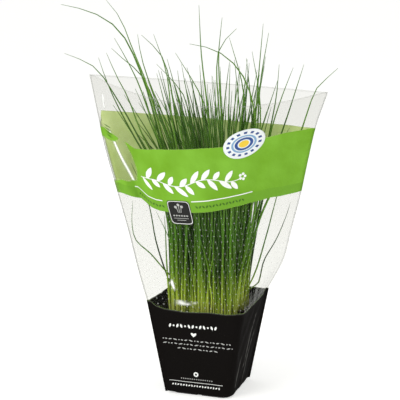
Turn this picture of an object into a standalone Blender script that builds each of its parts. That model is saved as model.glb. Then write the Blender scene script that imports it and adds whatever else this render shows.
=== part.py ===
"""Chives growing in a square plastic pot, wrapped in a tall film sleeve. Metres, +Z up, origin at the
middle of the pot's foot. The helper functions work in millimetres and `mesh_object` scales to metres."""

import math
import random

import bmesh
import bpy
import numpy as np

MM = 0.001
GAP = 0.3

# Pot: a tapered square with a lip, a groove cross and drain holes underneath.
POT_HEIGHT = 94.0
POT_FOOT_HALF = 33.0
POT_BODY_HALF = 45.6
POT_LIP_HALF = 47.0
POT_LIP_FROM = 86.0
POT_CORNER = 10.5
POT_WALL = 1.2
POT_FLOOR = 2.4
DRAIN_RADIUS = 4.0
DRAIN_OFFSET = 18.0
GROOVE_WIDTH = 5.0
GROOVE_DEPTH = 1.0
GROOVE_START = 9.0

# Soil: its top is a little uneven and holds one plain hole for each tuft.
SOIL_TOP = 84.0
SOIL_BUMP = 1.1
SOIL_HOLE_DEPTH = 15.0

# Sleeve: two sheets of film welded along two seams. It hugs the pot and opens out above it.
FILM = 0.5
SLEEVE_FOOT_Z = 2.0
SLEEVE_FOOT_HALF = 34.6
RIM_Z = 102.0
RIM_HALF = 50.0
SLEEVE_CORNER = 10.0
SEAM_RISE_LEFT = 234.5
SEAM_RISE_RIGHT = 224.0
SEAM_FIN = 3.0
FRONT_DIP = 18.0
BACK_DIP = 5.0
LEFT_SEAM = [(0, -50, -50), (0.15, -61, -48.6), (0.32, -72.5, -46.2), (0.5, -86, -44.3),
             (0.7, -101, -42), (0.85, -110, -39.5), (1, -119, -37)]
RIGHT_SEAM = [(0, 50, 50), (0.15, 67, 43.7), (0.3, 76, 36.5), (0.48, 87, 26),
              (0.67, 97, 14.3), (0.83, 106, 5), (1, 119.6, -5)]
SLEEVE_ROWS = [-1, -0.5, 0, 0.06, 0.13, 0.21, 0.3, 0.4, 0.5, 0.6, 0.7, 0.8, 0.9, 1]
FRONT_COLUMNS = [0.006, 0.03, 0.06, 0.085, 0.105, 0.125, 0.15, 0.18, 0.22, 0.28, 0.34, 0.4, 0.445, 0.475,
                 0.5, 0.525, 0.555, 0.6, 0.66, 0.72, 0.78, 0.84, 0.9, 0.96, 0.994]
BACK_COLUMNS = [0.006, 0.04, 0.09, 0.15, 0.22, 0.29, 0.36, 0.42, 0.46, 0.485, 0.515, 0.54, 0.58, 0.64,
                0.71, 0.78, 0.85, 0.91, 0.96, 0.994]
FRONT_BULGE = (0.28, -0.11)
BACK_BULGE = (0.36, -0.14)
PLEAT_AT = 0.115
PLEAT_WIDTH = 0.035
PLEAT_DEPTH = 9.0
PLEAT_HEIGHT = 0.62
PLEAT_REACH = 0.2

# Oval sticker on the front sheet.
STICKER_AT = (0.816, 0.69)
STICKER_HALF = (22.5, 14.0)
STICKER_TILT = math.radians(20)
STICKER_THICK = 0.4

# Chives: nine tufts of hollow leaves. The bunch spreads widest across FAN_TURN.
FAN_TURN = math.radians(17.2)
TUFT_PITCH = 24.5
TUFT_RADIUS = 11.3
ROOT_REACH = 9.7
ROOT_SPACING = 2.6
ROOT_Z = 80.0
CROWN_Z = 87.0
LEAVES_PER_TUFT = 27
ROOT_TRIES = 900
LEAN_FROM = 75.0
LEAN_OVER = 110.0
LEAF_STATIONS = [0, 0.16, 0.34, 0.5, 0.64, 0.77, 0.89, 1]
LEAF_RADII = [1.2, 1.15, 1.05, 0.95, 0.85, 0.72, 0.5, 0]
LEAF_CLEARANCE = 0.3
FILM_CLEARANCE = 1.2
SEED = 7

# Leaves that stand out from the bunch: places passed on the way up, as (across, height, towards the front).
LONG_LEAVES = [
    [(53, 195, 15), (78, 248, 17), (92, 287, 25), (100, 317, 33), (104, 328, 35), (125, 350, 40)],
    [(-37, 191, 8), (-56, 280, 7), (-73, 337, 6), (-96, 382, 4), (-123, 400, 3), (-156, 408, 2)],
    [(-35, 188, -6), (-54, 278, -8), (-71, 333, -9), (-83, 361, -11), (-97, 395, -12), (-111, 412, -14)],
    [(-40, 195, 10), (-74, 269, 8), (-101, 316, 5), (-120, 343, 3), (-136, 352, 2), (-153, 358, 0)],
    [(-39, 200, 2), (-78, 267, 2), (-100, 308, 1), (-110, 331, 1), (-118, 354, 0)],
    [(-37, 204, 20), (-74, 282, 18), (-87, 316, 17), (-98, 336, 15), (-109, 360, 12)],
    [(-33, 197, -12), (-57, 288, -14), (-65, 317, -15), (-76, 337, -17), (-90, 348, -18), (-106, 362, -20)],
    [(-34, 205, 26), (-64, 299, 26), (-77, 334, 25), (-94, 366, 24), (-100, 376, 24)],
    [(-24, 201, 5), (-49, 290, 3), (-65, 328, 1), (-74, 356, 0), (-78, 378, -4)],
    [(-22, 197, -16), (-38, 288, -18), (-47, 338, -19), (-55, 357, -21), (-75, 376, -24)],
    [(-26, 207, 32), (-41, 295, 32), (-47, 343, 33), (-60, 381, 34)],
    [(-11, 203, 12), (-21, 282, 11), (-30, 318, 10), (-42, 333, 10), (-58, 349, 8)],
    [(1, 208, 36), (-4, 296, 36), (-13, 322, 36), (-38, 363, 36)],
    [(3, 204, 20), (-2, 283, 20), (-8, 329, 21), (-12, 360, 21), (-15, 410, 22)],
    [(14, 199, -8), (11, 279, -8), (7, 331, -9), (6, 360, -9), (9, 396, -10)],
    [(12, 200, 0), (7, 301, -1), (4, 342, -2), (7, 366, -4), (24, 385, -6)],
    [(46, 209, 40), (44, 292, 41), (38, 323, 42), (25, 348, 42), (2, 366, 43), (-24, 372, 44)],
    [(36, 207, 28), (34, 295, 28), (30, 331, 27), (16, 378, 26)],
    [(30, 203, 10), (29, 292, 9), (26, 321, 8), (22, 354, 6)],
    [(42, 199, -10), (42, 290, -11), (39, 321, -12), (35, 354, -14)],
    [(43, 202, 6), (45, 292, 5), (47, 333, 4), (51, 391, 2)],
    [(46, 204, 16), (47, 293, 16), (49, 335, 17), (56, 383, 18)],
    [(42, 205, 22), (49, 284, 24), (48, 317, 25), (39, 365, 30)],
    [(49, 205, 12), (61, 284, 18), (66, 317, 22), (68, 350, 24)],
    [(51, 203, 4), (60, 277, 13), (70, 317, 24), (81, 349, 29)],
    [(54, 201, -5), (67, 260, 6), (78, 300, 18), (92, 352, 29)],
]


def clear_scene():
    for old in list(bpy.data.objects):
        bpy.data.objects.remove(old)


def material(name, colour, roughness, alpha=1.0):
    made = bpy.data.materials.new(name)
    made.use_nodes = True
    shader = made.node_tree.nodes["Principled BSDF"]
    shader.inputs["Base Color"].default_value = (*colour, 1)
    shader.inputs["Roughness"].default_value = roughness
    shader.inputs["Metallic"].default_value = 0
    shader.inputs["Alpha"].default_value = alpha
    made.diffuse_color = (*colour, alpha)
    return made


def mesh_object(name, points, faces, look, smooth=True):
    data = bpy.data.meshes.new(name)
    data.from_pydata([tuple(float(c) * MM for c in point) for point in points], [], faces)
    shape = bmesh.new()
    shape.from_mesh(data)
    bmesh.ops.recalc_face_normals(shape, faces=shape.faces)
    shape.to_mesh(data)
    shape.free()
    obj = bpy.data.objects.new(name, data)
    bpy.context.scene.collection.objects.link(obj)
    if look:
        data.materials.append(look)
    if smooth:
        data.shade_smooth()
        data.set_sharp_from_angle(angle=math.radians(35))
    return obj


def as_helper(obj):
    obj.hide_render = True
    obj.display_type = "WIRE"


def boolean(obj, operation, other=None, group=None, solver="EXACT"):
    step = obj.modifiers.new(operation.lower(), "BOOLEAN")
    step.operation = operation
    step.solver = solver
    if group:
        step.operand_type = "COLLECTION"
        step.collection = group
    else:
        step.object = other


def apply_modifiers(obj):
    graph = bpy.context.evaluated_depsgraph_get()
    made = bpy.data.meshes.new_from_object(obj.evaluated_get(graph))
    obj.modifiers.clear()
    old = obj.data
    obj.data = made
    bpy.data.meshes.remove(old)


def square_loop(half, corner, z, arc_steps=4):
    """A square with round corners, counterclockwise seen from above."""
    loop = []
    for quarter, (sx, sy) in enumerate([(1, 1), (-1, 1), (-1, -1), (1, -1)]):
        for step in range(arc_steps + 1):
            turn = math.radians(90 * quarter + 90 * step / arc_steps)
            loop.append((sx * (half - corner) + corner * math.cos(turn),
                         sy * (half - corner) + corner * math.sin(turn), z))
    return loop


def loft(loops):
    """Skins equal loops in order and caps the first and the last."""
    count = len(loops[0])
    points = [point for loop in loops for point in loop]
    faces = [list(range(count))[::-1], [count * (len(loops) - 1) + i for i in range(count)]]
    for row in range(len(loops) - 1):
        for i in range(count):
            a, b = row * count + i, row * count + (i + 1) % count
            faces.append([a, b, b + count, a + count])
    return points, faces


def cylinder(name, x, y, radius, low, high, sides):
    ring = [(x + radius * math.cos(math.tau * i / sides), y + radius * math.sin(math.tau * i / sides))
            for i in range(sides)]
    obj = mesh_object(name, *loft([[(*p, low) for p in ring], [(*p, high) for p in ring]]), None, False)
    as_helper(obj)
    return obj


def pot_half(z):
    return POT_FOOT_HALF + (POT_BODY_HALF - POT_FOOT_HALF) * z / POT_LIP_FROM


def make_pot(look):
    inner_corner = POT_CORNER - POT_WALL
    loops = [
        square_loop(POT_FOOT_HALF - 0.8, POT_CORNER - 0.8, 0),
        square_loop(POT_FOOT_HALF + 0.1, POT_CORNER, 0.8),
        square_loop(pot_half(POT_LIP_FROM) - 0.1, POT_CORNER, POT_LIP_FROM - 0.6),
        square_loop(POT_LIP_HALF - 0.8, POT_CORNER, POT_LIP_FROM),
        square_loop(POT_LIP_HALF, POT_CORNER, POT_HEIGHT - 0.6),
        square_loop(POT_LIP_HALF - 0.6, POT_CORNER, POT_HEIGHT),
        square_loop(POT_LIP_HALF - 1.3, inner_corner, POT_HEIGHT),
        square_loop(pot_half(POT_LIP_FROM) - POT_WALL, inner_corner, POT_LIP_FROM),
        square_loop(pot_half(POT_FLOOR) - POT_WALL, inner_corner, POT_FLOOR),
    ]
    pot = mesh_object("pot", *loft(loops), look)
    reach = POT_FOOT_HALF + 3
    for turn in range(4):
        side, along = (1 if turn < 2 else -1), turn % 2
        corners = []
        for z in (-1, GROOVE_DEPTH):
            ring = [(GROOVE_START, -GROOVE_WIDTH / 2), (reach, -GROOVE_WIDTH / 2),
                    (reach, GROOVE_WIDTH / 2), (GROOVE_START, GROOVE_WIDTH / 2)]
            corners.append([(side * u, side * v, z) if not along else (-side * v, side * u, z)
                            for u, v in ring])
        groove = mesh_object(f"groove_{turn}", *loft(corners), None, False)
        as_helper(groove)
        boolean(pot, "DIFFERENCE", groove)
    for number, (sx, sy) in enumerate([(1, 1), (-1, 1), (-1, -1), (1, -1)]):
        hole = cylinder(f"drain_{number}", sx * DRAIN_OFFSET, sy * DRAIN_OFFSET, DRAIN_RADIUS,
                        -1, POT_FLOOR + 1, 12)
        boolean(pot, "DIFFERENCE", hole)
    return pot


def soil_height(x, y):
    waves = math.sin(0.19 * x + 0.7) * math.cos(0.16 * y - 0.4) + 0.6 * math.sin(0.33 * y + 0.21 * x)
    return SOIL_TOP + SOIL_BUMP * waves


def make_soil(look, centres):
    corner = POT_CORNER - POT_WALL
    low, high = POT_FLOOR + GAP, SOIL_TOP - 3
    edge = pot_half(high) - POT_WALL - GAP
    loops = [square_loop(pot_half(low) - POT_WALL - GAP, corner, low), square_loop(edge, corner, high)]
    for share in (0.97, 0.8, 0.58, 0.36, 0.14):
        loop = square_loop(edge * share, corner * share, 0)
        loops.append([(x, y, soil_height(x, y)) for x, y, _ in loop])
    soil = mesh_object("soil", *loft(loops), look)
    for number, (x, y) in enumerate(centres):
        hole = cylinder(f"soil_hole_{number}", x, y, TUFT_RADIUS + 0.75,
                        SOIL_TOP - SOIL_HOLE_DEPTH, SOIL_TOP + 9, 16)
        boolean(soil, "DIFFERENCE", hole)
    return soil


def through(stations, q):
    """Points of a smooth curve through (q, x, y) stations."""
    table = np.array(stations, float)
    slopes = np.gradient(table[:, 1:], table[:, 0], axis=0)
    i = np.clip(np.searchsorted(table[:, 0], q) - 1, 0, len(table) - 2)
    step = (table[i + 1, 0] - table[i, 0])[..., None]
    u = (q - table[i, 0])[..., None] / step
    return ((1 + 2 * u) * (1 - u) ** 2 * table[i, 1:] + u * (1 - u) ** 2 * step * slopes[i]
            + u * u * (3 - 2 * u) * table[i + 1, 1:] + u * u * (u - 1) * step * slopes[i + 1])


def seams(q):
    """Both seams at height q: -1 at the foot, 0 at the pot's rim, 1 at the mouth."""
    half = RIM_HALF + np.minimum(q, 0) * (RIM_HALF - SLEEVE_FOOT_HALF)
    corner = np.stack([half, half], axis=-1)
    below = (q < 0)[..., None]
    return np.where(below, -corner, through(LEFT_SEAM, q)), np.where(below, corner, through(RIGHT_SEAM, q))


def bulge(a, q, chord, front):
    """How far a sheet stands out from the line between the seams, as a share of that line's length."""
    corner = SLEEVE_CORNER / chord
    rounded = 0.5 - corner * math.sqrt(2) + np.sqrt(np.maximum(corner ** 2 - (a - 0.5) ** 2, 0))
    square = np.where(abs(a - 0.5) < corner * math.sqrt(0.5), rounded, np.minimum(a, 1 - a))
    high = np.maximum(q, 0)
    blend = 1 - (1 - high) ** 3
    height, change = FRONT_BULGE if front else BACK_BULGE
    out = square * (1 - blend) + (height + change * high) * 4 * a * (1 - a) * blend
    if front:
        fold = np.exp(-((a - PLEAT_AT) / PLEAT_WIDTH) ** 2 - ((q - PLEAT_HEIGHT) / PLEAT_REACH) ** 2)
        out = out - PLEAT_DEPTH / chord * fold
    return out


def film_rise(a, front):
    """The height of the mouth above the pot's rim, across a sheet."""
    dip = FRONT_DIP if front else BACK_DIP
    return SEAM_RISE_LEFT * (1 - a) + SEAM_RISE_RIGHT * a - dip * 4 * a * (1 - a)


def film_point(q, a, front, inset=0.0):
    q, a = np.asarray(q, float), np.asarray(a, float)
    left, right = seams(q)
    line = right - left
    chord = np.hypot(line[..., 0], line[..., 1])
    out_way = np.stack([line[..., 1], -line[..., 0]], axis=-1) * (1 if front else -1)
    out = bulge(a, q, chord, front)
    if inset:
        slope = (bulge(a + 0.002, q, chord, front) - bulge(a - 0.002, q, chord, front)) / 0.004
        out = out - inset * np.hypot(1, slope) / chord
    spot = left + line * a[..., None] + out_way * out[..., None]
    z = RIM_Z + np.where(q < 0, q * (RIM_Z - SLEEVE_FOOT_Z), q * film_rise(a, front))
    return np.concatenate([spot, z[..., None]], axis=-1)


def seam_point(q, right_end, along, across):
    """A point by a seam: `along` millimetres out past it and `across` millimetres towards the front."""
    left, right = seams(np.asarray(q, float))
    line = (right - left) / np.hypot(*(right - left))
    base = right + line * along if right_end else left - line * along
    spot = base + np.array([line[1], -line[0]]) * across
    rise = SEAM_RISE_RIGHT if right_end else SEAM_RISE_LEFT
    return np.array([*spot, RIM_Z + (q * (RIM_Z - SLEEVE_FOOT_Z) if q < 0 else q * rise)])


def make_sleeve(look):
    front, back = FRONT_COLUMNS, BACK_COLUMNS
    count = 2 + len(front) + 2 + len(back)
    inner_count = len(front) + len(back) - 2
    points, faces = [], []
    for q in SLEEVE_ROWS:
        points.append(seam_point(q, False, SEAM_FIN, FILM * 0.6))
        points += [film_point(q, a, True) for a in front]
        points.append(seam_point(q, True, SEAM_FIN, FILM * 0.6))
        points.append(seam_point(q, True, SEAM_FIN, -FILM * 0.6))
        points += [film_point(q, a, False) for a in back[::-1]]
        points.append(seam_point(q, False, SEAM_FIN, -FILM * 0.6))
    inner_start = len(points)
    for q in SLEEVE_ROWS:
        points.append(seam_point(q, False, -1.7, 0))
        points += [film_point(q, a, True, FILM) for a in front[1:-1]]
        points.append(seam_point(q, True, -1.7, 0))
        points += [film_point(q, a, False, FILM) for a in back[-2:0:-1]]
    rows = len(SLEEVE_ROWS)
    for row in range(rows - 1):
        for i in range(count):
            a, b = row * count + i, row * count + (i + 1) % count
            faces.append([a, b, b + count, a + count])
        for i in range(inner_count):
            a = inner_start + row * inner_count + i
            b = inner_start + row * inner_count + (i + 1) % inner_count
            faces.append([b, a, a + inner_count, b + inner_count])
    right_inner = len(front) - 1
    partner = [0, 0] + list(range(1, len(front) - 1)) + [right_inner] * 4
    partner += list(range(right_inner + 1, inner_count)) + [0, 0]
    for row in (0, rows - 1):
        for i in range(count):
            j = (i + 1) % count
            a, b = row * count + i, row * count + j
            c, d = (inner_start + row * inner_count + partner[k] for k in (j, i))
            face = [a, b, d] if c == d else [a, b, c, d]
            faces.append(face if row else face[::-1])
    return mesh_object("sleeve", points, faces, look)


def make_sticker(look):
    q_mid, a_mid = STICKER_AT
    left, right = seams(np.asarray(q_mid, float))
    chord = np.hypot(*(right - left))
    rise = film_point(q_mid, a_mid, True)[2] - RIM_Z

    def at(u, v, lift):
        along = u * math.cos(STICKER_TILT) - v * math.sin(STICKER_TILT)
        up = u * math.sin(STICKER_TILT) + v * math.cos(STICKER_TILT)
        a, q = a_mid + along / chord, q_mid + up / rise * q_mid
        here = film_point(q, a, True)
        normal = np.cross(film_point(q, a + 0.01, True) - here, film_point(q + 0.01, a, True) - here)
        return here + normal / np.linalg.norm(normal) * lift

    sides, rings = 28, (0.5, 1)
    points, faces = [], []
    for lift in (GAP, GAP + STICKER_THICK):
        start = len(points)
        points.append(at(0, 0, lift))
        for share in rings:
            for i in range(sides):
                turn = math.tau * i / sides
                points.append(at(STICKER_HALF[0] * share * math.cos(turn),
                                 STICKER_HALF[1] * share * math.sin(turn), lift))
        for i in range(sides):
            j = (i + 1) % sides
            faces.append([start, start + 1 + i, start + 1 + j])
            faces.append([start + 1 + i, start + 1 + sides + i, start + 1 + sides + j, start + 1 + j])
    layer = 1 + 2 * sides
    for i in range(sides):
        a, b = 1 + sides + i, 1 + sides + (i + 1) % sides
        faces.append([a, b, layer + b, layer + a])
    return mesh_object("oval_sticker", points, faces, look)


def room_in_sleeve(points):
    """Millimetres from each point to the nearest sheet of film: negative outside, endless above the mouth."""
    q = np.clip((points[:, 2] - RIM_Z) / 225, -1, 1)
    for _ in range(2):
        left, right = seams(q)
        line, step = right - left, points[:, :2] - left
        square = (line ** 2).sum(1)
        a = (step * line).sum(1) / square
        out = (step[:, 0] * line[:, 1] - step[:, 1] * line[:, 0]) / square
        inside = np.clip(a, 0.01, 0.99)
        rise = np.where(out > 0, film_rise(inside, True), film_rise(inside, False))
        level = (points[:, 2] - RIM_Z) / rise
        q = np.clip(level, -1, 1)
    chord = np.sqrt(square)
    room = 0.72 * chord * np.minimum(bulge(inside, q, chord, True) - out, bulge(inside, q, chord, False) + out)
    room = np.where((a < 0.01) | (a > 0.99), -1.0, room)
    return np.where(level > 1.012, np.inf, room)


def across_to_xy(across, forward):
    cos, sin = math.cos(FAN_TURN), math.sin(FAN_TURN)
    return across * cos + forward * sin, across * sin - forward * cos


def smooth_line(points, count):
    """A smooth curve through the points, cut into equal steps."""
    points = np.array(points, float)
    spans = np.linalg.norm(np.diff(points, axis=0), axis=1)
    where = np.concatenate([[0], np.cumsum(np.sqrt(spans))])
    slopes = np.gradient(points, where, axis=0)
    fine = []
    for s in np.linspace(0, where[-1], 160):
        i = int(np.clip(np.searchsorted(where, s) - 1, 0, len(points) - 2))
        step = where[i + 1] - where[i]
        u = (s - where[i]) / step
        fine.append((1 + 2 * u) * (1 - u) ** 2 * points[i] + u * (1 - u) ** 2 * step * slopes[i]
                    + u * u * (3 - 2 * u) * points[i + 1] + u * u * (u - 1) * step * slopes[i + 1])
    return even_steps(np.array(fine), count)


def even_steps(line, count):
    done = np.concatenate([[0], np.cumsum(np.linalg.norm(np.diff(line, axis=0), axis=1))])
    marks = np.linspace(0, done[-1], count)
    return np.stack([np.interp(marks, done, line[:, k]) for k in range(3)], axis=1)


def free_leaf(rng, root):
    """A leaf that leans out with the rest of the bunch, plus a little of its own."""
    across = root[0] * math.cos(FAN_TURN) + root[1] * math.sin(FAN_TURN)
    forward = root[0] * math.sin(FAN_TURN) - root[1] * math.cos(FAN_TURN)
    lean_across = -0.13 + 0.0088 * across + rng.gauss(0, 0.1)
    lean_forward = 0.003 * forward + rng.gauss(0, 0.06)
    lean = math.atan(math.hypot(lean_across, lean_forward))
    heading = math.atan2(lean_forward, lean_across)
    length = rng.choice([rng.uniform(150, 235), rng.uniform(215, 275), rng.uniform(240, 285)])
    droop = rng.choice([0, 0.1, 0.25, 0.5, 0.9]) * rng.uniform(0.6, 1.1)
    steps = 48
    spot, line = np.array([*root, ROOT_Z]), []
    for step in range(steps + 1):
        line.append(spot)
        run = length * (step + 0.5) / steps
        ease = min(max((run - LEAN_FROM) / LEAN_OVER, 0), 1)
        tilt = lean * (0.06 + 1.08 * ease * ease * (3 - 2 * ease)) + droop * (run / length) ** 3 * (lean * 1.5 + 0.15)
        dx, dy = across_to_xy(math.cos(heading), math.sin(heading))
        way = np.array([math.sin(tilt) * dx, math.sin(tilt) * dy, math.cos(tilt)])
        spot = spot + way * length / steps
    return np.array(line)


def segment_gaps(starts, ends, others):
    """Smallest distance from each straight starts-ends to each of the others, as a table."""
    d1, d2 = (ends - starts)[:, None], (others[:, 3:6] - others[:, :3])[None]
    r = starts[:, None] - others[None, :, :3]
    a, e = (d1 * d1).sum(2), (d2 * d2).sum(2)
    b, c, f = (d1 * d2).sum(2), (d1 * r).sum(2), (d2 * r).sum(2)
    s = np.clip((b * f - c * e) / np.maximum(a * e - b * b, 1e-9), 0, 1)
    t = np.clip((b * s + f) / e, 0, 1)
    s = np.clip((b * t - c) / a, 0, 1)
    t = np.clip((b * s + f) / e, 0, 1)
    return np.linalg.norm(r + s[..., None] * d1 - t[..., None] * d2, axis=2)


def leaf_stations(line):
    """The leaf's corners for the solid, and the widest radius of each straight between them."""
    last = len(line) - 1
    marks = [share * last for share in LEAF_STATIONS]
    index = np.arange(len(line))
    corners = np.stack([np.interp(marks, index, line[:, k]) for k in range(3)], axis=1)
    return corners, np.array(LEAF_RADII[:-1])


def leaf_fits(line, taken):
    corners, radii = leaf_stations(line)
    if len(taken):
        gaps = segment_gaps(corners[:-1], corners[1:], taken) - taken[:, 6] - radii[:, None]
        if gaps.min() < LEAF_CLEARANCE:
            return False
    return room_in_sleeve(line[6:]).min() > FILM_CLEARANCE + radii[0]


def tuft_centres(rng):
    return [(TUFT_PITCH * col + rng.uniform(-0.35, 0.35), TUFT_PITCH * row + rng.uniform(-0.35, 0.35))
            for row in (-1, 0, 1) for col in (-1, 0, 1)]


def grow_leaves():
    """Each tuft's leaves as centre lines. Every leaf stays clear of the others and of the film."""
    rng = random.Random(SEED)
    centres = tuft_centres(rng)
    tufts = [[] for _ in centres]
    roots = []
    taken = np.zeros((0, 7))

    def keep(tuft, root, line):
        nonlocal taken
        corners, radii = leaf_stations(line)
        taken = np.vstack([taken, np.column_stack([corners[:-1], corners[1:], radii])])
        tufts[tuft].append(line)
        roots.append(root)

    def free_root(root):
        return all(math.dist(root, other) > ROOT_SPACING for other in roots)

    for places in LONG_LEAVES:
        for attempt in range(120):
            shift = rng.gauss(0, 0.12 * attempt)
            moved = [(*across_to_xy(across, forward + shift), z) for across, z, forward in places]
            low = np.array(moved[0][:2])
            tuft = min(range(len(centres)), key=lambda k: math.dist(low * 0.9, centres[k]))
            step = low * 0.9 - centres[tuft] + [rng.gauss(0, 1 + attempt * 0.05) for _ in "xy"]
            step *= min(1, ROOT_REACH / np.hypot(*step))
            root = tuple(np.array(centres[tuft]) + step)
            if not free_root(root):
                continue
            lift = (root[0] * 0.8 + moved[0][0] * 0.2, root[1] * 0.8 + moved[0][1] * 0.2, ROOT_Z + 45)
            line = smooth_line([(*root, ROOT_Z), lift, *moved], 49)
            if leaf_fits(line, taken):
                keep(tuft, root, line)
                break
        else:
            print("no place for long leaf", LONG_LEAVES.index(places))
    for tuft, centre in enumerate(centres):
        for _ in range(ROOT_TRIES):
            if len(tufts[tuft]) >= LEAVES_PER_TUFT:
                break
            turn, reach = rng.uniform(0, math.tau), ROOT_REACH * math.sqrt(rng.random())
            root = (centre[0] + reach * math.cos(turn), centre[1] + reach * math.sin(turn))
            if not free_root(root):
                continue
            for _ in range(6):
                line = free_leaf(rng, root)
                if leaf_fits(line, taken):
                    keep(tuft, root, line)
                    break
    return centres, tufts


def leaf_mesh(line, turn, sides=3):
    """A tapering leaf with few sides along the line, closed at both ends."""
    corners, _ = leaf_stations(line)
    ways = np.gradient(corners, axis=0)
    ways /= np.linalg.norm(ways, axis=1)[:, None]
    side = np.cross(ways[0], [math.cos(turn), math.sin(turn), 0.01])
    points, faces = [], [list(range(sides))[::-1]]
    for corner, way, radius in zip(corners[:-1], ways, LEAF_RADII):
        side = side - way * (side @ way)
        side /= np.linalg.norm(side)
        other = np.cross(way, side)
        for k in range(sides):
            angle = math.tau * k / sides
            points.append(corner + radius * (math.cos(angle) * side + math.sin(angle) * other))
    points.append(corners[-1])
    rows = len(corners) - 1
    for row in range(rows - 1):
        for k in range(sides):
            a, b = row * sides + k, row * sides + (k + 1) % sides
            faces.append([a, b, b + sides, a + sides])
    for k in range(sides):
        faces.append([(rows - 1) * sides + k, (rows - 1) * sides + (k + 1) % sides, rows * sides])
    return points, faces


def crown(x, y):
    """The tuft's crown: the mat of roots and stem bases that stands in the soil hole."""
    levels = [(SOIL_TOP - SOIL_HOLE_DEPTH + 2, 0.8), (SOIL_TOP - 8, 1), (CROWN_Z - 1.2, 1),
              (CROWN_Z + 1.2, 0.8), (CROWN_Z + 2.0, 0.4)]
    loops = []
    for z, share in levels:
        loops.append([(x + TUFT_RADIUS * share * math.cos(math.tau * i / 14),
                       y + TUFT_RADIUS * share * math.sin(math.tau * i / 14), z) for i in range(14)])
    return loft(loops)


def make_tuft(number, centre, lines, look):
    name = f"tuft_{number + 1:02d}"
    tuft = mesh_object(name, *crown(*centre), look)
    group = bpy.data.collections.new(name + "_leaves")
    rng = random.Random(SEED + number)
    leaves = []
    for k, line in enumerate(lines):
        leaf = mesh_object(f"{name}_leaf_{k}", *leaf_mesh(line, rng.uniform(0, math.tau)), look)
        group.objects.link(leaf)
        leaves.append(leaf)
    boolean(tuft, "UNION", group=group, solver="MANIFOLD")
    apply_modifiers(tuft)
    for leaf in leaves:
        bpy.data.objects.remove(leaf)
    bpy.data.collections.remove(group)
    return tuft


def main():
    clear_scene()
    black_plastic = material("black_plastic", (0.012, 0.011, 0.010), 0.45)
    peat = material("peat_soil", (0.07, 0.035, 0.018), 0.95)
    film = material("clear_film", (0.62, 0.72, 0.55), 0.12, 0.35)
    label = material("sticker_film", (0.8, 0.82, 0.84), 0.3)
    leaf_green = material("chive_green", (0.12, 0.27, 0.03), 0.4)
    centres, tufts = grow_leaves()
    print("leaves", [len(lines) for lines in tufts])
    make_pot(black_plastic)
    make_soil(peat, centres)
    for number, (centre, lines) in enumerate(zip(centres, tufts)):
        make_tuft(number, centre, lines, leaf_green)
    make_sleeve(film)
    make_sticker(label)


main()
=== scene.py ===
# Chives in a square pot, wrapped in a tall printed film: the looks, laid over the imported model.
# Helper functions work in millimetres, and pieces are made in metres.
import bpy
import bmesh
import functools
import math
import random
import numpy as np
from mathutils import Matrix, Vector


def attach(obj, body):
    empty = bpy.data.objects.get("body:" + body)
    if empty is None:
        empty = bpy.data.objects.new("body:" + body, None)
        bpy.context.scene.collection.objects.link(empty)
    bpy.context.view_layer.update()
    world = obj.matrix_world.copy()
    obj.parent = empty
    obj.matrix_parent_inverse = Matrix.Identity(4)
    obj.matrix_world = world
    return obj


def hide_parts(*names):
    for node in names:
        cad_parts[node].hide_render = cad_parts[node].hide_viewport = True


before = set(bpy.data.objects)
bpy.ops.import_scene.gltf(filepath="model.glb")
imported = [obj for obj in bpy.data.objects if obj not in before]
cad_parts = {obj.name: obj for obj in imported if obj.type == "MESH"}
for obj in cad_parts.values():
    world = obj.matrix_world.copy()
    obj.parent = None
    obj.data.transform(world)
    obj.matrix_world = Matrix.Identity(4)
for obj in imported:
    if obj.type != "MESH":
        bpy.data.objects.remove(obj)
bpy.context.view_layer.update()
print("frame loaded:", ", ".join(sorted(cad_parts)))

mm = 0.001
# node settings that are used again and again
rgba, flatNoise = {"data_type": "RGBA"}, {"noise_dimensions": "2D"}
times, larger = {"operation": "MULTIPLY"}, {"operation": "MAXIMUM"}


def colour(hexValue):
    # an sRGB hex value as the linear colour that Blender's sockets take
    parts = [int(hexValue[i:i + 2], 16) / 255 for i in (1, 3, 5)]
    return [p / 12.92 if p <= 0.04045 else ((p + 0.055) / 1.055) ** 2.4 for p in parts] + [1.0]


def addNode(tree, kind, settings=None, **sockets):
    # one node: its settings, then each socket by its name or "s" and its number, as a value, a link or a node
    node = tree.nodes.new("ShaderNode" + kind)
    for name, value in (settings or {}).items():
        setattr(node, name, value)
    for name, value in sockets.items():
        key = int(name[1:]) if name[0] == "s" and name[1:].isdigit() else name.replace("_", " ")
        if isinstance(value, bpy.types.Node):
            value = value.outputs[2 if value.bl_idname == "ShaderNodeMix" else 0]
        if isinstance(value, bpy.types.NodeSocket):
            tree.links.new(value, node.inputs[key])
        else:
            node.inputs[key].default_value = value
    return node


def blank(owner):
    # empties a material's or a world's nodes, and returns it with its own way to add new ones
    owner.use_nodes = True
    owner.node_tree.nodes.clear()
    return owner, functools.partial(addNode, owner.node_tree)


def blankMaterial(name):
    return blank(bpy.data.materials.new(name))


def inScene(name, data):
    # puts a mesh, lamp or camera into the scene as an object; a bmesh becomes a mesh first
    if isinstance(data, bmesh.types.BMesh):
        shape, data = data, bpy.data.meshes.new(name)
        shape.to_mesh(data)
        shape.free()
    obj = bpy.data.objects.new(name, data)
    bpy.context.scene.collection.objects.link(obj)
    return obj


def pieceFrom(name, shape, looks, smooth=True):
    # turns a bmesh in metres into a piece at the origin, riding on the plant
    obj = inScene(name, shape)
    for look in looks:
        obj.data.materials.append(look)
    if smooth:
        obj.data.shade_smooth()
    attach(obj, "root")
    return obj


def thicken(piece, thickness, side, otherLook=0):
    wall = piece.modifiers.new("sheetThickness", "SOLIDIFY")
    wall.thickness, wall.offset, wall.material_offset = thickness * mm, side, otherLook


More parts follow.
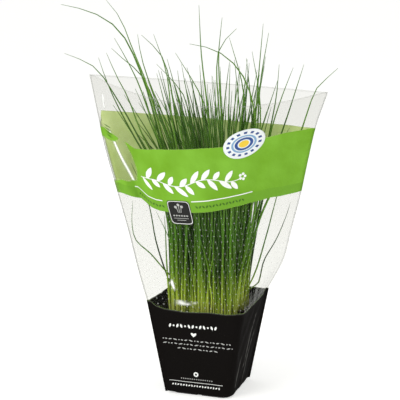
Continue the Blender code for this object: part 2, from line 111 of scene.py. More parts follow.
def layGrid(shape, places, flat, mapLayer, layers=()):
    # a grid with its corners at places[row, column] in mm, its flat places in a UV map and values in layers
    rows, columns = places.shape[0] - 1, places.shape[1] - 1
    made = bmesh.ops.create_grid(shape, x_segments=columns, y_segments=rows, size=0.5)["verts"]
    cells = {}
    for vertex in made:
        cell = round((vertex.co.y + 0.5) * rows), round((vertex.co.x + 0.5) * columns)
        cells[vertex] = cell
        for layer, values in layers:
            vertex[layer] = values[cell]
        vertex.co = places[cell] * mm
    for face in {face for vertex in made for face in vertex.link_faces}:
        for loop in face.loops:
            loop[mapLayer].uv = flat[cells[loop.vert]]


studio = {
    # the camera's distance and target are in mm, and its angles in degrees
    "azimuth": 17.2, "elevation": 11.5, "distance": 1370.0, "target": (-11.0, -3.5, 205.5), "roll": 0.7,
    "lens": 117.0, "floorSize": 12.0, "floor": "#F6F6F4", "floorGlow": 0.54,
    "backdrop": "#FFFFFF", "seenSky": 1.05, "lightingSky": 0.55,
    # soft lights: place, the point aimed at and size, all in metres, then watts
    "lights": {
        "keyLight": ((-0.9, -1.3, 1.05), (0, 0, 0.2), (1.1, 1.1), 13.5),
        "fillLight": ((1.5, -0.7, 0.7), (0, 0, 0.2), (0.7, 1.3), 3.5),
        "topLight": ((0.0, 0.1, 1.9), (0, 0, 0), (2.6, 2.6), 2.5),
    },
}


def makeCamera():
    turn, rise, roll = (math.radians(studio[k]) for k in ("azimuth", "elevation", "roll"))
    back = Vector((math.sin(turn) * math.cos(rise), -math.cos(turn) * math.cos(rise), math.sin(rise)))
    right = Vector((math.cos(turn), math.sin(turn), 0))
    up = back.cross(right)
    across = right * math.cos(roll) + up * math.sin(roll)
    upward = up * math.cos(roll) - right * math.sin(roll)
    data = bpy.data.cameras.new("photoCamera")
    data.lens, data.sensor_width, data.clip_start, data.clip_end = studio["lens"], 36, 0.05, 20
    camera = inScene("photoCamera", data)
    place = (Vector(studio["target"]) + back * studio["distance"]) * mm
    camera.matrix_world = Matrix.Translation(place) @ Matrix((across, upward, back)).transposed().to_4x4()
    bpy.context.scene.camera = camera


def makeStudio():
    shape = bmesh.new()
    bmesh.ops.create_grid(shape, x_segments=2, y_segments=2, size=studio["floorSize"])
    floor = inScene("studioFloor", shape)
    look, add = blankMaterial("paleStudioPaper")
    # lit from below as well, like a photographer's light table
    shader = add("BsdfPrincipled", Base_Color=colour(studio["floor"]), Roughness=0.9,
                 Emission_Color=colour(studio["floor"]), Emission_Strength=studio["floorGlow"])
    add("OutputMaterial", Surface=shader)
    floor.data.materials.append(look)
    for name, (place, aim, size, watts) in studio["lights"].items():
        data = bpy.data.lights.new(name, "AREA")
        data.shape, data.size, data.size_y, data.energy = "RECTANGLE", size[0], size[1], watts
        facing = (Vector(aim) - Vector(place)).to_track_quat("-Z", "Y").to_matrix().to_4x4()
        inScene(name, data).matrix_world = Matrix.Translation(place) @ facing
    # the paper backdrop is seen bright and lights the plant more softly
    bpy.context.scene.world, add = blank(bpy.data.worlds.new("paleRoom"))
    path = add("LightPath")
    lighting = add("Background", Color=colour(studio["backdrop"]), Strength=studio["lightingSky"])
    seen = add("Background", Color=colour(studio["backdrop"]), Strength=studio["seenSky"])
    both = add("MixShader", Fac=path.outputs["Is Camera Ray"], s1=lighting, s2=seen)
    add("OutputWorld", Surface=both)
    bpy.context.scene.view_settings.view_transform = "Standard"


makeCamera()
makeStudio()
print("camera and light ready")

wrap = {
    # in mm: the pot's part is square with round corners, and above its rim the sheets run from seam to seam
    "footZ": 2.0, "footHalf": 34.6, "rimZ": 102.0, "rimHalf": 50.0, "corner": 10.0,
    "riseLeft": 234.5, "riseRight": 224.0, "fin": 3.0, "frontDip": 18.0, "backDip": 5.0,
    # the seams as (height q, x, y): q is -1 at the foot, 0 at the pot's rim and 1 at the mouth
    "leftSeam": [(0, -50, -50), (0.15, -61, -48.6), (0.32, -72.5, -46.2), (0.5, -86, -44.3),
                 (0.7, -101, -42), (0.85, -110, -39.5), (1, -119, -37)],
    "rightSeam": [(0, 50, 50), (0.15, 67, 43.7), (0.3, 76, 36.5), (0.48, 87, 26),
                  (0.67, 97, 14.3), (0.83, 106, 5), (1, 119.6, -5)],
    # how far the sheets stand out, as a share of the line between the seams: at the rim, and the change above
    "frontBulge": (0.28, -0.11), "backBulge": (0.36, -0.14),
    "pleatAt": 0.115, "pleatWidth": 0.035, "pleatDepth": 9.0, "pleatHeight": 0.62, "pleatReach": 0.2,
    # leaves keep this far from a seam and above the mouth, as shares; the sheets' usual rise and slant
    "seamShy": 0.01, "mouthShy": 1.012, "usualRise": 225, "slant": 0.72,
    # depths of the folds in mm: high in the film, fine streaks, at the rim, on the pot, low right and left
    "looseFold": 0.9, "streak": 0.55, "rimFold": 0.7, "potFold": 0.35, "potEase": 0.3, "pulled": 0.5,
    "crumple": 2.2, "crumpleAt": 0.66, "crumpleReach": (0.13, 0.22),
    "thickness": 0.25, "finGap": 0.3, "columns": 200, "rows": 124, "lowRows": 31,
    # how the columns spread over the front: closer near the left seam, where the sheet is crumpled
    "spread": ([0, 0.4, 1], [0.006, 0.2, 0.994]),
}


def through(stations, q):
    # points of a smooth curve through (q, x, y) stations
    table = np.array(stations, float)
    slopes = np.gradient(table[:, 1:], table[:, 0], axis=0)
    i = np.clip(np.searchsorted(table[:, 0], q) - 1, 0, len(table) - 2)
    step = (table[i + 1, 0] - table[i, 0])[..., None]
    u = (q - table[i, 0])[..., None] / step
    return ((1 + 2 * u) * (1 - u) ** 2 * table[i, 1:] + u * (1 - u) ** 2 * step * slopes[i]
            + u * u * (3 - 2 * u) * table[i + 1, 1:] + u * u * (u - 1) * step * slopes[i + 1])


def seamPlaces(q):
    # both seams at height q: -1 at the foot, 0 at the pot's rim, 1 at the mouth
    half = wrap["rimHalf"] + np.minimum(q, 0) * (wrap["rimHalf"] - wrap["footHalf"])
    corner = np.stack([half, half], axis=-1)
    below = (q < 0)[..., None]
    left = np.where(below, -corner, through(wrap["leftSeam"], q))
    right = np.where(below, corner, through(wrap["rightSeam"], q))
    return left, right


def sheetBulge(a, q, chord, front):
    # how far a sheet stands out from the line between the seams, as a share of that line
    corner = wrap["corner"] / chord
    rounded = 0.5 - corner * math.sqrt(2) + np.sqrt(np.maximum(corner ** 2 - (a - 0.5) ** 2, 0))
    square = np.where(abs(a - 0.5) < corner * math.sqrt(0.5), rounded, np.minimum(a, 1 - a))
    high = np.maximum(q, 0)
    blend = 1 - (1 - high) ** 3
    height, change = wrap["frontBulge"] if front else wrap["backBulge"]
    out = square * (1 - blend) + (height + change * high) * 4 * a * (1 - a) * blend
    if front:
        fold = np.exp(-((a - wrap["pleatAt"]) / wrap["pleatWidth"]) ** 2
                      - ((q - wrap["pleatHeight"]) / wrap["pleatReach"]) ** 2)
        out = out - wrap["pleatDepth"] / chord * fold
    return out


def mouthRise(a, front):
    # the mouth's height above the pot's rim, across a sheet
    dip = wrap["frontDip"] if front else wrap["backDip"]
    return wrap["riseLeft"] * (1 - a) + wrap["riseRight"] * a - dip * 4 * a * (1 - a)


def levelAt(q, rise):
    # millimetres above the ground at height q, where the mouth stands rise above the pot's rim
    return wrap["rimZ"] + np.where(q < 0, q * (wrap["rimZ"] - wrap["footZ"]), q * rise)


def folds(a, q, front):
    # soft folds and small dents in the film, in millimetres outwards, as waves that cross each other
    side = 0.0 if front else 3.1
    high = np.clip(q, 0, 1)
    low = np.clip(-q, 0, 1)
    broad = np.sin(a * 23 + 2.2 * q + side) * np.sin(a * 9.5 - 3.0 * q + 1.3 + side)
    loose = wrap["looseFold"] * high * broad
    streaks = wrap["streak"] * high * np.sin(a * 61 + 5 * np.sin(q * 4 + side) + side)
    nearRim = np.exp(-((q - 0.03) / 0.05) ** 2)
    rim = wrap["rimFold"] * nearRim * np.sin(a * 46 + side) * np.sin(a * 17 + 1 + side)
    waves = wrap["potFold"] * np.sin(a * 38 + q * 16 + side) * np.sin(q * 9 + a * 6 + side)
    pot = np.clip(low * 9, 0, 1) * (waves + wrap["potEase"])
    if front:
        # slanting creases low on the right-hand face, where the film is pulled round the pot's corner
        right = np.clip((a - 0.5) * 8, 0, 1) * np.clip(low * 5, 0, 1)
        pot = pot + right * wrap["pulled"] * np.sin(a * 42 - q * 21) ** 3
        # the crumpled strip beside the left seam
        wide, tall = wrap["crumpleReach"]
        left = np.exp(-(a / wide) ** 2) * np.exp(-((q - wrap["crumpleAt"]) / tall) ** 2)
        tangle = np.sin(q * 34 + a * 60) * 0.6 + np.sin(q * 19 - a * 90 + 1) * 0.5
        pot = pot + left * wrap["crumple"] * tangle
    edge = np.clip(np.minimum(a, 1 - a) * 40, 0, 1)
    return edge * (loose + streaks + rim + pot)


def filmPlaces(q, a, front, lift=0.0, creased=True):
    # millimetre places on a sheet; lift stands them off its outer face
    q, a = np.asarray(q, float), np.asarray(a, float)
    left, right = seamPlaces(q)
    line = right - left
    chord = np.hypot(line[..., 0], line[..., 1])
    outWay = np.stack([line[..., 1], -line[..., 0]], axis=-1) * (1 if front else -1)
    out = sheetBulge(a, q, chord, front)
    if creased:
        out = out + folds(a, q, front) / chord
    spot = left + line * a[..., None] + outWay * out[..., None]
    places = np.concatenate([spot, levelAt(q, mouthRise(a, front))[..., None]], axis=-1)
    if lift:
        step = 1e-3
        sideways = filmPlaces(q, a + step, front) - filmPlaces(q, a - step, front)
        upward = filmPlaces(q + step, a, front) - filmPlaces(q - step, a, front)
        normal = np.cross(sideways, upward) * (1 if front else -1)
        places = places + lift * normal / np.linalg.norm(normal, axis=-1)[..., None]
    return places


def finPlaces(q, rightEnd, across):
    # the flat welded fin's outer edge, past a seam
    left, right = seamPlaces(q)
    line = (right - left) / np.linalg.norm(right - left, axis=-1)[..., None]
    base = right + line * wrap["fin"] if rightEnd else left - line * wrap["fin"]
    spot = base + np.stack([line[..., 1], -line[..., 0]], axis=-1) * across
    rise = wrap["riseRight"] if rightEnd else wrap["riseLeft"]
    return np.concatenate([spot, levelAt(q, rise)[..., None]], axis=-1)


chives = {
    # in mm: the tufts' places and roots, where leaves start to lean and over what length
    "fanTurn": math.radians(17.2), "tuftPitch": 24.5, "tuftShift": 0.35, "tuftRadius": 11.3,
    "domeRise": (8.0, 9.0), "rootZ": 80.0, "rootReach": 9.7, "rootSpacing": 2.6, "leavesPerTuft": 27,
    "rootTries": 900, "leafTries": 6, "leanFrom": 75.0, "leanOver": 110.0, "linePoints": 49, "seed": 7,
    # lean as a slope: the bunch's own, its growth per mm from the middle, and its scatter
    "leanAcross": (-0.13, 0.0088, 0.1), "leanForward": (0.0, 0.003, 0.06), "footLean": 0.06,
    "lengths": [(150, 235), (215, 275), (240, 285)],
    "droops": [0, 0.1, 0.25, 0.5, 0.9], "droopSpread": (0.6, 1.1), "droopByLean": (1.5, 0.15),
    "leanGain": 1.08,
    "stations": [0, 0.16, 0.34, 0.5, 0.64, 0.77, 0.89, 1],
    "radii": [1.2, 1.15, 1.05, 0.95, 0.85, 0.72, 0.5, 0],
    "leafClearance": 0.3, "filmClearance": 1.2, "sides": 6, "rings": 20, "leafWidth": 2.1, "leastGirth": 0.34,
    "girth": [1.35, 1.4, 1.3, 1.12, 0.93, 0.76, 0.52, 0.18], "tone": (0.48, 0.42),
    # how a traced leaf sets off: root against lowest place, the next point's mix of both and its height
    "longFoot": (0.9, (0.8, 0.2), 45), "looseFoot": (0.8, (0.6, 0.4), 28),
    "longTries": 120, "looseThin": 0.62,
    # the thin leaves between: most are cut short, and below tightTo they stay as close as the crowns
    "fine": {
        "perTuft": 36, "tries": 400, "reach": 13.2, "thin": (0.6, 1.0), "stray": 1.5,
        "leanFrom": (15, 70), "footLean": (0.0, 0.4), "whole": 0.28, "cutAt": (14, 27),
        "pitch": (60, 110), "sway": 1.4, "swayEase": 40, "slant": 3.2, "slantEase": 38,
        "spread": 36.5, "spreadRise": 0.1, "spreadFrom": 110, "tightTo": 215, "spacing": 1.2, "overlap": 0.6,
    },
}

# leaves that stand out from the bunch: places passed on the way up, as (across, height, towards the front)
longLeaves = [
    [(53, 195, 15), (78, 248, 17), (92, 287, 25), (100, 317, 33), (104, 328, 35), (125, 350, 40)],
    [(-37, 191, 8), (-56, 280, 7), (-73, 337, 6), (-96, 382, 4), (-123, 400, 3), (-156, 408, 2)],
    [(-35, 188, -6), (-54, 278, -8), (-71, 333, -9), (-83, 361, -11), (-97, 395, -12), (-111, 412, -14)],
    [(-40, 195, 10), (-74, 269, 8), (-101, 316, 5), (-120, 343, 3), (-136, 352, 2), (-153, 358, 0)],
    [(-39, 200, 2), (-78, 267, 2), (-100, 308, 1), (-110, 331, 1), (-118, 354, 0)],
    [(-37, 204, 20), (-74, 282, 18), (-87, 316, 17), (-98, 336, 15), (-109, 360, 12)],
    [(-33, 197, -12), (-57, 288, -14), (-65, 317, -15), (-76, 337, -17), (-90, 348, -18), (-106, 362, -20)],
    [(-34, 205, 26), (-64, 299, 26), (-77, 334, 25), (-94, 366, 24), (-100, 376, 24)],
    [(-24, 201, 5), (-49, 290, 3), (-65, 328, 1), (-74, 356, 0), (-78, 378, -4)],
    [(-22, 197, -16), (-38, 288, -18), (-47, 338, -19), (-55, 357, -21), (-75, 376, -24)],
    [(-26, 207, 32), (-41, 295, 32), (-47, 343, 33), (-60, 381, 34)],
    [(-11, 203, 12), (-21, 282, 11), (-30, 318, 10), (-42, 333, 10), (-58, 349, 8)],
    [(1, 208, 36), (-4, 296, 36), (-13, 322, 36), (-38, 363, 36)],
    [(3, 204, 20), (-2, 283, 20), (-8, 329, 21), (-12, 360, 21), (-15, 410, 22)],
    [(14, 199, -8), (11, 279, -8), (7, 331, -9), (6, 360, -9), (9, 396, -10)],
    [(12, 200, 0), (7, 301, -1), (4, 342, -2), (7, 366, -4), (24, 385, -6)],
    [(46, 209, 40), (44, 292, 41), (38, 323, 42), (25, 348, 42), (2, 366, 43), (-24, 372, 44)],
    [(36, 207, 28), (34, 295, 28), (30, 331, 27), (16, 378, 26)],
    [(30, 203, 10), (29, 292, 9), (26, 321, 8), (22, 354, 6)],
    [(42, 199, -10), (42, 290, -11), (39, 321, -12), (35, 354, -14)],
    [(43, 202, 6), (45, 292, 5), (47, 333, 4), (51, 391, 2)],
    [(46, 204, 16), (47, 293, 16), (49, 335, 17), (56, 383, 18)],
    [(42, 205, 22), (49, 284, 24), (48, 317, 25), (39, 365, 30)],
    [(49, 205, 12), (61, 284, 18), (66, 317, 22), (68, 350, 24)],
    [(51, 203, 4), (60, 277, 13), (70, 317, 24), (81, 349, 29)],
    [(54, 201, -5), (67, 260, 6), (78, 300, 18), (92, 352, 29)],
]
# thin leaves that bend about loosely inside the wrap, in the same terms
looseLeaves = [
    [(-40, 123, 10), (-50, 135, 14), (-63, 151, 16), (-78, 166, 20), (-82, 184, 22), (-81, 209, 24)],
    [(-38, 130, 30), (-42, 167, 32), (-57, 201, 34)],
    [(51, 111, -10), (58, 137, -14), (71, 160, -18), (81, 186, -18), (85, 201, -16)],
    [(-44, 120, 4), (-57, 160, 6), (-66, 205, 8), (-84, 246, 8)],
    [(48, 130, 8), (60, 172, 2), (70, 214, 2), (84, 262, 6)],
]


def roomInWrap(points):
    # millimetres from each point to the nearest sheet: negative outside, endless above the mouth
    shy = wrap["seamShy"]
    q = np.clip((points[:, 2] - wrap["rimZ"]) / wrap["usualRise"], -1, 1)
    for _ in range(2):
        left, right = seamPlaces(q)
        line, step = right - left, points[:, :2] - left
        square = (line ** 2).sum(1)
        a = (step * line).sum(1) / square
        out = (step[:, 0] * line[:, 1] - step[:, 1] * line[:, 0]) / square
        inside = np.clip(a, shy, 1 - shy)
        rise = np.where(out > 0, mouthRise(inside, True), mouthRise(inside, False))
        level = (points[:, 2] - wrap["rimZ"]) / rise
        q = np.clip(level, -1, 1)
    chord = np.sqrt(square)
    nearest = np.minimum(sheetBulge(inside, q, chord, True) - out, sheetBulge(inside, q, chord, False) + out)
    room = np.where((a < shy) | (a > 1 - shy), -1.0, wrap["slant"] * chord * nearest)
    return np.where(level > wrap["mouthShy"], np.inf, room)


def fromAcross(across, forward):
    # turns (across the photo, towards its camera) into (x, y); the same sum also turns them back
    cos, sin = math.cos(chives["fanTurn"]), math.sin(chives["fanTurn"])
    return across * cos + forward * sin, across * sin - forward * cos


def runAlong(line):
    # how far along a line each of its points lies
    return np.concatenate([[0], np.cumsum(np.linalg.norm(np.diff(line, axis=0), axis=1))])


def pointsAt(marks, scale, line):
    # the places on a line where a scale along it reads the marks
    return np.stack([np.interp(marks, scale, line[:, k]) for k in range(3)], axis=1)


def evenSteps(line, count):
    run = runAlong(line)
    return pointsAt(np.linspace(0, run[-1], count), run, line)


def smoothLine(points):
    # a smooth curve through the points, cut into equal steps
    points = np.array(points, float)
    spans = np.linalg.norm(np.diff(points, axis=0), axis=1)
    where = np.concatenate([[0], np.cumsum(np.sqrt(spans))])
    fine = through(np.column_stack([where, points]), np.linspace(0, where[-1], 160))
    return evenSteps(fine, chives["linePoints"])


def freeLeaf(rng, root, stray=1.0, leanFrom=chives["leanFrom"], footLean=chives["footLean"]):
    # a leaf that leans out with the rest of the bunch, plus a little of its own
    slopes = []
    for away, key in zip(fromAcross(*root), ("leanAcross", "leanForward")):
        start, growth, scatter = chives[key]
        slopes.append(start + growth * away + rng.gauss(0, scatter) * stray)
    lean, heading = math.atan(math.hypot(*slopes)), math.atan2(slopes[1], slopes[0])
    byLean, own = chives["droopByLean"]
    dx, dy = fromAcross(math.cos(heading), math.sin(heading))
    length = rng.choice([rng.uniform(*span) for span in chives["lengths"]])
    droop = rng.choice(chives["droops"]) * rng.uniform(*chives["droopSpread"])
    steps = chives["linePoints"] - 1
    spot, line = np.array([*root, chives["rootZ"]]), []
    for step in range(steps + 1):
        line.append(spot)
        run = length * (step + 0.5) / steps
        ease = min(max((run - leanFrom) / chives["leanOver"], 0), 1)
        bend = droop * (run / length) ** 3 * (lean * byLean + own)
        tilt = lean * (footLean + chives["leanGain"] * ease * ease * (3 - 2 * ease)) + bend
        way = np.array([math.sin(tilt) * dx, math.sin(tilt) * dy, math.cos(tilt)])
        spot = spot + way * length / steps
    return np.array(line)


def weave(rng, line):
    # bends a leaf from side to side and slants its foot, each by a few millimetres
    fine, run = chives["fine"], runAlong(line)
    turn, phase, pitch = rng.uniform(0, math.tau), rng.uniform(0, math.tau), rng.uniform(*fine["pitch"])
    swing = np.sin(math.tau * run / pitch + phase) - math.sin(phase)
    sway = rng.gauss(0, fine["sway"]) * swing * np.minimum(run / fine["swayEase"], 1)
    slant = rng.gauss(0, fine["slant"]) * (1 - np.exp(-run / fine["slantEase"]))
    return line + (sway + slant)[:, None] * [math.cos(turn), math.sin(turn), 0]


def gapsBetween(starts, ends, others):
    # the smallest distance from each straight starts-ends to each of the others, as a table
    d1, d2 = (ends - starts)[:, None], (others[:, 3:6] - others[:, :3])[None]
    r = starts[:, None] - others[None, :, :3]
    a, e = (d1 * d1).sum(2), (d2 * d2).sum(2)
    b, c, f = (d1 * d2).sum(2), (d1 * r).sum(2), (d2 * r).sum(2)
    s = np.clip((b * f - c * e) / np.maximum(a * e - b * b, 1e-9), 0, 1)
    t = np.clip((b * s + f) / e, 0, 1)
    s = np.clip((b * t - c) / a, 0, 1)
    t = np.clip((b * s + f) / e, 0, 1)
    return np.linalg.norm(r + s[..., None] * d1 - t[..., None] * d2, axis=2)


def leafCorners(line):
    # a leaf's corners as in the solids, and its radii at all of them but the tip
    marks = [share * (len(line) - 1) for share in chives["stations"]]
    return pointsAt(marks, np.arange(len(line)), line), np.array(chives["radii"][:-1])


def leafFits(line, taken, clearance, thin=1.0):
    corners, radii = leafCorners(line)
    radii = radii * thin
    if len(taken):
        gaps = gapsBetween(corners[:-1], corners[1:], taken) - taken[:, 6] - radii[:, None]
        if gaps.min() < clearance:
            return False
    return roomInWrap(line[6:]).min() > chives["filmClearance"] + radii[0]


def growLeaves():
    # every tuft's leaves as centre lines, the same as in the solids, then thinner ones between them
    rng = random.Random(chives["seed"])
    pitch, shift, fine = chives["tuftPitch"], chives["tuftShift"], chives["fine"]
    centres = [(pitch * col + rng.uniform(-shift, shift), pitch * row + rng.uniform(-shift, shift))
               for row in (-1, 0, 1) for col in (-1, 0, 1)]
    tufts = [[] for _ in centres]
    roots = []
    taken = np.zeros((0, 7))

    def keep(tuft, root, line, thin=1.0):
        nonlocal taken
        corners, radii = leafCorners(line)
        taken = np.vstack([taken, np.column_stack([corners[:-1], corners[1:], radii * thin])])
        tufts[tuft].append((line, thin))
        roots.append(root)

    def freeRoot(root, spacing):
        return all(math.dist(root, other) > spacing for other in roots)

    def someRoot(centre, reach):
        turn, away = rng.uniform(0, math.tau), reach * math.sqrt(rng.random())
        return centre[0] + away * math.cos(turn), centre[1] + away * math.sin(turn)

    def tracedLeaf(places, foot, forwardShift=0, wander=0):
        # the tuft, root and line of a leaf that passes the given places
        share, (rootPart, lowPart), rise = foot
        shifted = [(*fromAcross(across, forward + forwardShift), z) for across, z, forward in places]
        low = np.array(shifted[0][:2])
        tuft = min(range(len(centres)), key=lambda k: math.dist(low * share, centres[k]))
        step = low * share - centres[tuft]
        if wander:
            step += [rng.gauss(0, wander) for _ in "xy"]
        step *= min(1, chives["rootReach"] / np.hypot(*step))
        root = tuple(np.array(centres[tuft]) + step)
        lift = (*(np.array(root) * rootPart + low * lowPart), chives["rootZ"] + rise)
        return tuft, root, smoothLine([(*root, chives["rootZ"]), lift, *shifted])

    for places in longLeaves:
        for attempt in range(chives["longTries"]):
            # each further try may move the leaf a little more
            shift = rng.gauss(0, 0.12 * attempt)
            tuft, root, line = tracedLeaf(places, chives["longFoot"], shift, 1 + attempt * 0.05)
            if freeRoot(root, chives["rootSpacing"]) and leafFits(line, taken, chives["leafClearance"]):
                keep(tuft, root, line)
                break
    for tuft, centre in enumerate(centres):
        for _ in range(chives["rootTries"]):
            if len(tufts[tuft]) >= chives["leavesPerTuft"]:
                break
            root = someRoot(centre, chives["rootReach"])
            if not freeRoot(root, chives["rootSpacing"]):
                continue
            for _ in range(chives["leafTries"]):
                line = freeLeaf(rng, root)
                if leafFits(line, taken, chives["leafClearance"]):
                    keep(tuft, root, line)
                    break
    rng = random.Random(chives["seed"] + 100)
    for places in looseLeaves:
        keep(*tracedLeaf(places, chives["looseFoot"]), chives["looseThin"])
    for tuft, centre in enumerate(centres):
        wanted = len(tufts[tuft]) + fine["perTuft"]
        for _ in range(fine["tries"]):
            if len(tufts[tuft]) >= wanted:
                break
            root = someRoot(centre, fine["reach"])
            thin = rng.uniform(*fine["thin"])
            leanFrom, footLean = rng.uniform(*fine["leanFrom"]), rng.uniform(*fine["footLean"])
            line = freeLeaf(rng, root, fine["stray"], leanFrom, footLean)
            if rng.random() >= fine["whole"]:
                line = evenSteps(line[:rng.randint(*fine["cutAt"])], chives["linePoints"])
            line = weave(rng, line)
            spread = fine["spread"] + fine["spreadRise"] * np.maximum(line[:, 2] - fine["spreadFrom"], 0)
            tight = (np.abs(line[:, :2]) < spread[:, None])[line[:, 2] < fine["tightTo"]].all()
            if tight and freeRoot(root, fine["spacing"]) and leafFits(line, taken, -fine["overlap"], thin):
                keep(tuft, root, line, thin)
    return centres, tufts


def leafPlaces(line, thin, turn):
    # rings of places round a leaf's line: closed to a point in the crown and at the tip
    sides = chives["sides"]
    share = np.linspace(0, 1, chives["rings"] + 1)
    mid = pointsAt(share * (len(line) - 1), np.arange(len(line)), line)
    radius = np.interp(share, chives["stations"], chives["girth"]) * thin
    radius = np.maximum(radius, chives["leastGirth"] * thin ** 0.5 * (share < 1))
    radius[0] = 0
    way = np.gradient(mid, axis=0)
    way /= np.linalg.norm(way, axis=1)[:, None]
    side = np.cross(way[0], [math.cos(turn), math.sin(turn), 0.01])
    angle = np.linspace(0, math.tau, sides + 1)[:, None]
    rows = []
    for place, along, size in zip(mid, way, radius):
        side = side - along * (side @ along)
        side /= np.linalg.norm(side)
        rows.append(place + size * (np.cos(angle) * side + np.sin(angle) * np.cross(along, side)))
    return np.array(rows), runAlong(mid)


centres, tufts = growLeaves()
print("leaves grown:", sum(len(lines) for lines in tufts))


def chiveLeafMaterial():
    # Living chive leaf: hollow and round, with a waxy bloom that gives soft, slightly bluish highlights.
    # It is pale yellow-green where light never reached and greyer at the tip; its darker green low in the
    # bunch is partly painted shade, and its lighter green higher up is partly painted light.
    made, add = blankMaterial("waxyChiveLeaf")
    uv = add("UVMap", {"uv_map": "leafRun"})
    place = add("SeparateXYZ", Vector=uv)
    tone = add("Attribute", {"attribute_name": "leafTone"})
    share = add("Attribute", {"attribute_name": "leafShare"})
    height = add("MapRange", s0=place.outputs["Y"], s1=8.0, s2=150.0)
    # the greens along the leaf are partly its own and partly painted: darkest between about 60 and 90 mm
    # along the leaf, where painted shade stands for the dense bunch, and lighter again towards 150 mm, where
    # painted light makes up for the shade inside the wrap
    ramp = add("ValToRGB", Fac=height)
    paintRamp(ramp, [(0.0, "#D9DF74"), (0.14, "#B4CB40"), (0.34, "#74A01E"), (0.6, "#50841A"),
                     (1.0, "#7FAD42")])
    deep = add("ValToRGB", Fac=height)
    paintRamp(deep, [(0.0, "#B0C040"), (0.14, "#6B8B16"), (0.35, "#1F3D03"), (1.0, "#42701B")])
    body = add("Mix", rgba, s0=tone.outputs["Fac"], s6=ramp, s7=deep)
    toTip = add("MapRange", s0=share.outputs["Fac"], s1=0.64, s2=0.95)
    tipped = add("Mix", rgba, s0=toTip, s6=body, s7=colour("#4C752B"))
    # veins run along the leaf: about 0.35 mm apart round it and 30 mm long
    stretch = add("Mapping", Vector=uv, Scale=(2.8, 0.033, 1.0))
    veins = add("TexNoise", flatNoise, Vector=stretch, Scale=1.0, Detail=2.0)
    striped = add("Mix", {**rgba, "blend_type": "OVERLAY"}, s0=0.35, s6=tipped, s7=veins)
    bump = add("Bump", Strength=0.12, Distance=0.0002, Height=veins)
    gloss = add("MapRange", s0=veins, s3=0.34, s4=0.5)
    shader = add("BsdfPrincipled", Base_Color=striped, Roughness=gloss,
                 Normal=bump, IOR=1.4, Specular_IOR_Level=0.22, Subsurface_Weight=0.1)
    shader.inputs["Subsurface Radius"].default_value = (0.6, 1.0, 0.2)
    shader.inputs["Subsurface Scale"].default_value = 0.001
    add("OutputMaterial", Surface=shader)
    return made


def paintRamp(ramp, stops):
    # sets a colour ramp's stops from (place, hex) pairs
    elements = ramp.color_ramp.elements
    while len(elements) < len(stops):
        elements.new(0.5)
    for element, (place, hexValue) in zip(elements, stops):
        element.position = place
    for element, (place, hexValue) in zip(elements, stops):
        element.color = colour(hexValue)


def crownMaterial():
    # Stem bases and root mat: dry papery sheaths, dull straw and brown with green showing between.
    made, add = blankMaterial("stemBaseSheath")
    spot = add("TexCoord").outputs["Object"]
    grain = add("TexNoise", Vector=spot, Scale=420.0, Detail=4.0)
    blotch = add("TexNoise", Vector=spot, Scale=130.0, Detail=2.0)
    ramp = add("ValToRGB", Fac=blotch)
    paintRamp(ramp, [(0.3, "#2F2A14"), (0.5, "#6C6A2E"), (0.7, "#A8A860")])
    bump = add("Bump", Strength=0.6, Distance=0.0008, Height=grain)
    shader = add("BsdfPrincipled", Base_Color=ramp, Roughness=0.75, Normal=bump)
    add("OutputMaterial", Surface=shader)
    return made


def makeTuft(number, centre, lines, looks):
    sides, rings = chives["sides"], chives["rings"]
    rng = random.Random(chives["seed"] + number)
    shape = bmesh.new()
    runMap = shape.loops.layers.uv.new("leafRun")
    toneLayer, shareLayer = (shape.verts.layers.float.new(name) for name in ("leafTone", "leafShare"))
    step = math.pi * chives["leafWidth"] / sides
    around, share = np.meshgrid(np.arange(sides + 1) * step, np.arange(rings + 1) / rings)
    for line, thin in lines:
        turn, tone = rng.uniform(0, math.tau), min(1, max(0, rng.gauss(*chives["tone"])))
        places, run = leafPlaces(line, thin, turn)
        flat = np.stack([around, np.broadcast_to(run[:, None], around.shape)], axis=-1)
        layGrid(shape, places, flat, runMap, ((toneLayer, np.full_like(share, tone)), (shareLayer, share)))
    bmesh.ops.remove_doubles(shape, verts=shape.verts, dist=2e-6)
    # the crown is an uneven dome
    dome = bmesh.ops.create_icosphere(shape, subdivisions=3, radius=1.0)["verts"]
    for vertex in dome:
        x, y, z = vertex.co
        spread = chives["tuftRadius"] * 0.98 * (1 + 0.06 * math.sin(9 * x + number) * math.cos(8 * y))
        height = chives["rootZ"] + z * chives["domeRise"][z > 0]
        vertex.co = Vector((centre[0] + x * spread, centre[1] + y * spread, height)) * mm
    for face in {face for vertex in dome for face in vertex.link_faces}:
        face.material_index = 1
    bmesh.ops.recalc_face_normals(shape, faces=shape.faces)
    piece = pieceFrom(f"chiveTuft{number + 1}", shape, looks)
    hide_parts(f"tuft_{number + 1:02d}")


leafLook, crownLook = chiveLeafMaterial(), crownMaterial()
for number, (centre, lines) in enumerate(zip(centres, tufts)):
    makeTuft(number, centre, lines, [leafLook, crownLook])
print("tufts made")

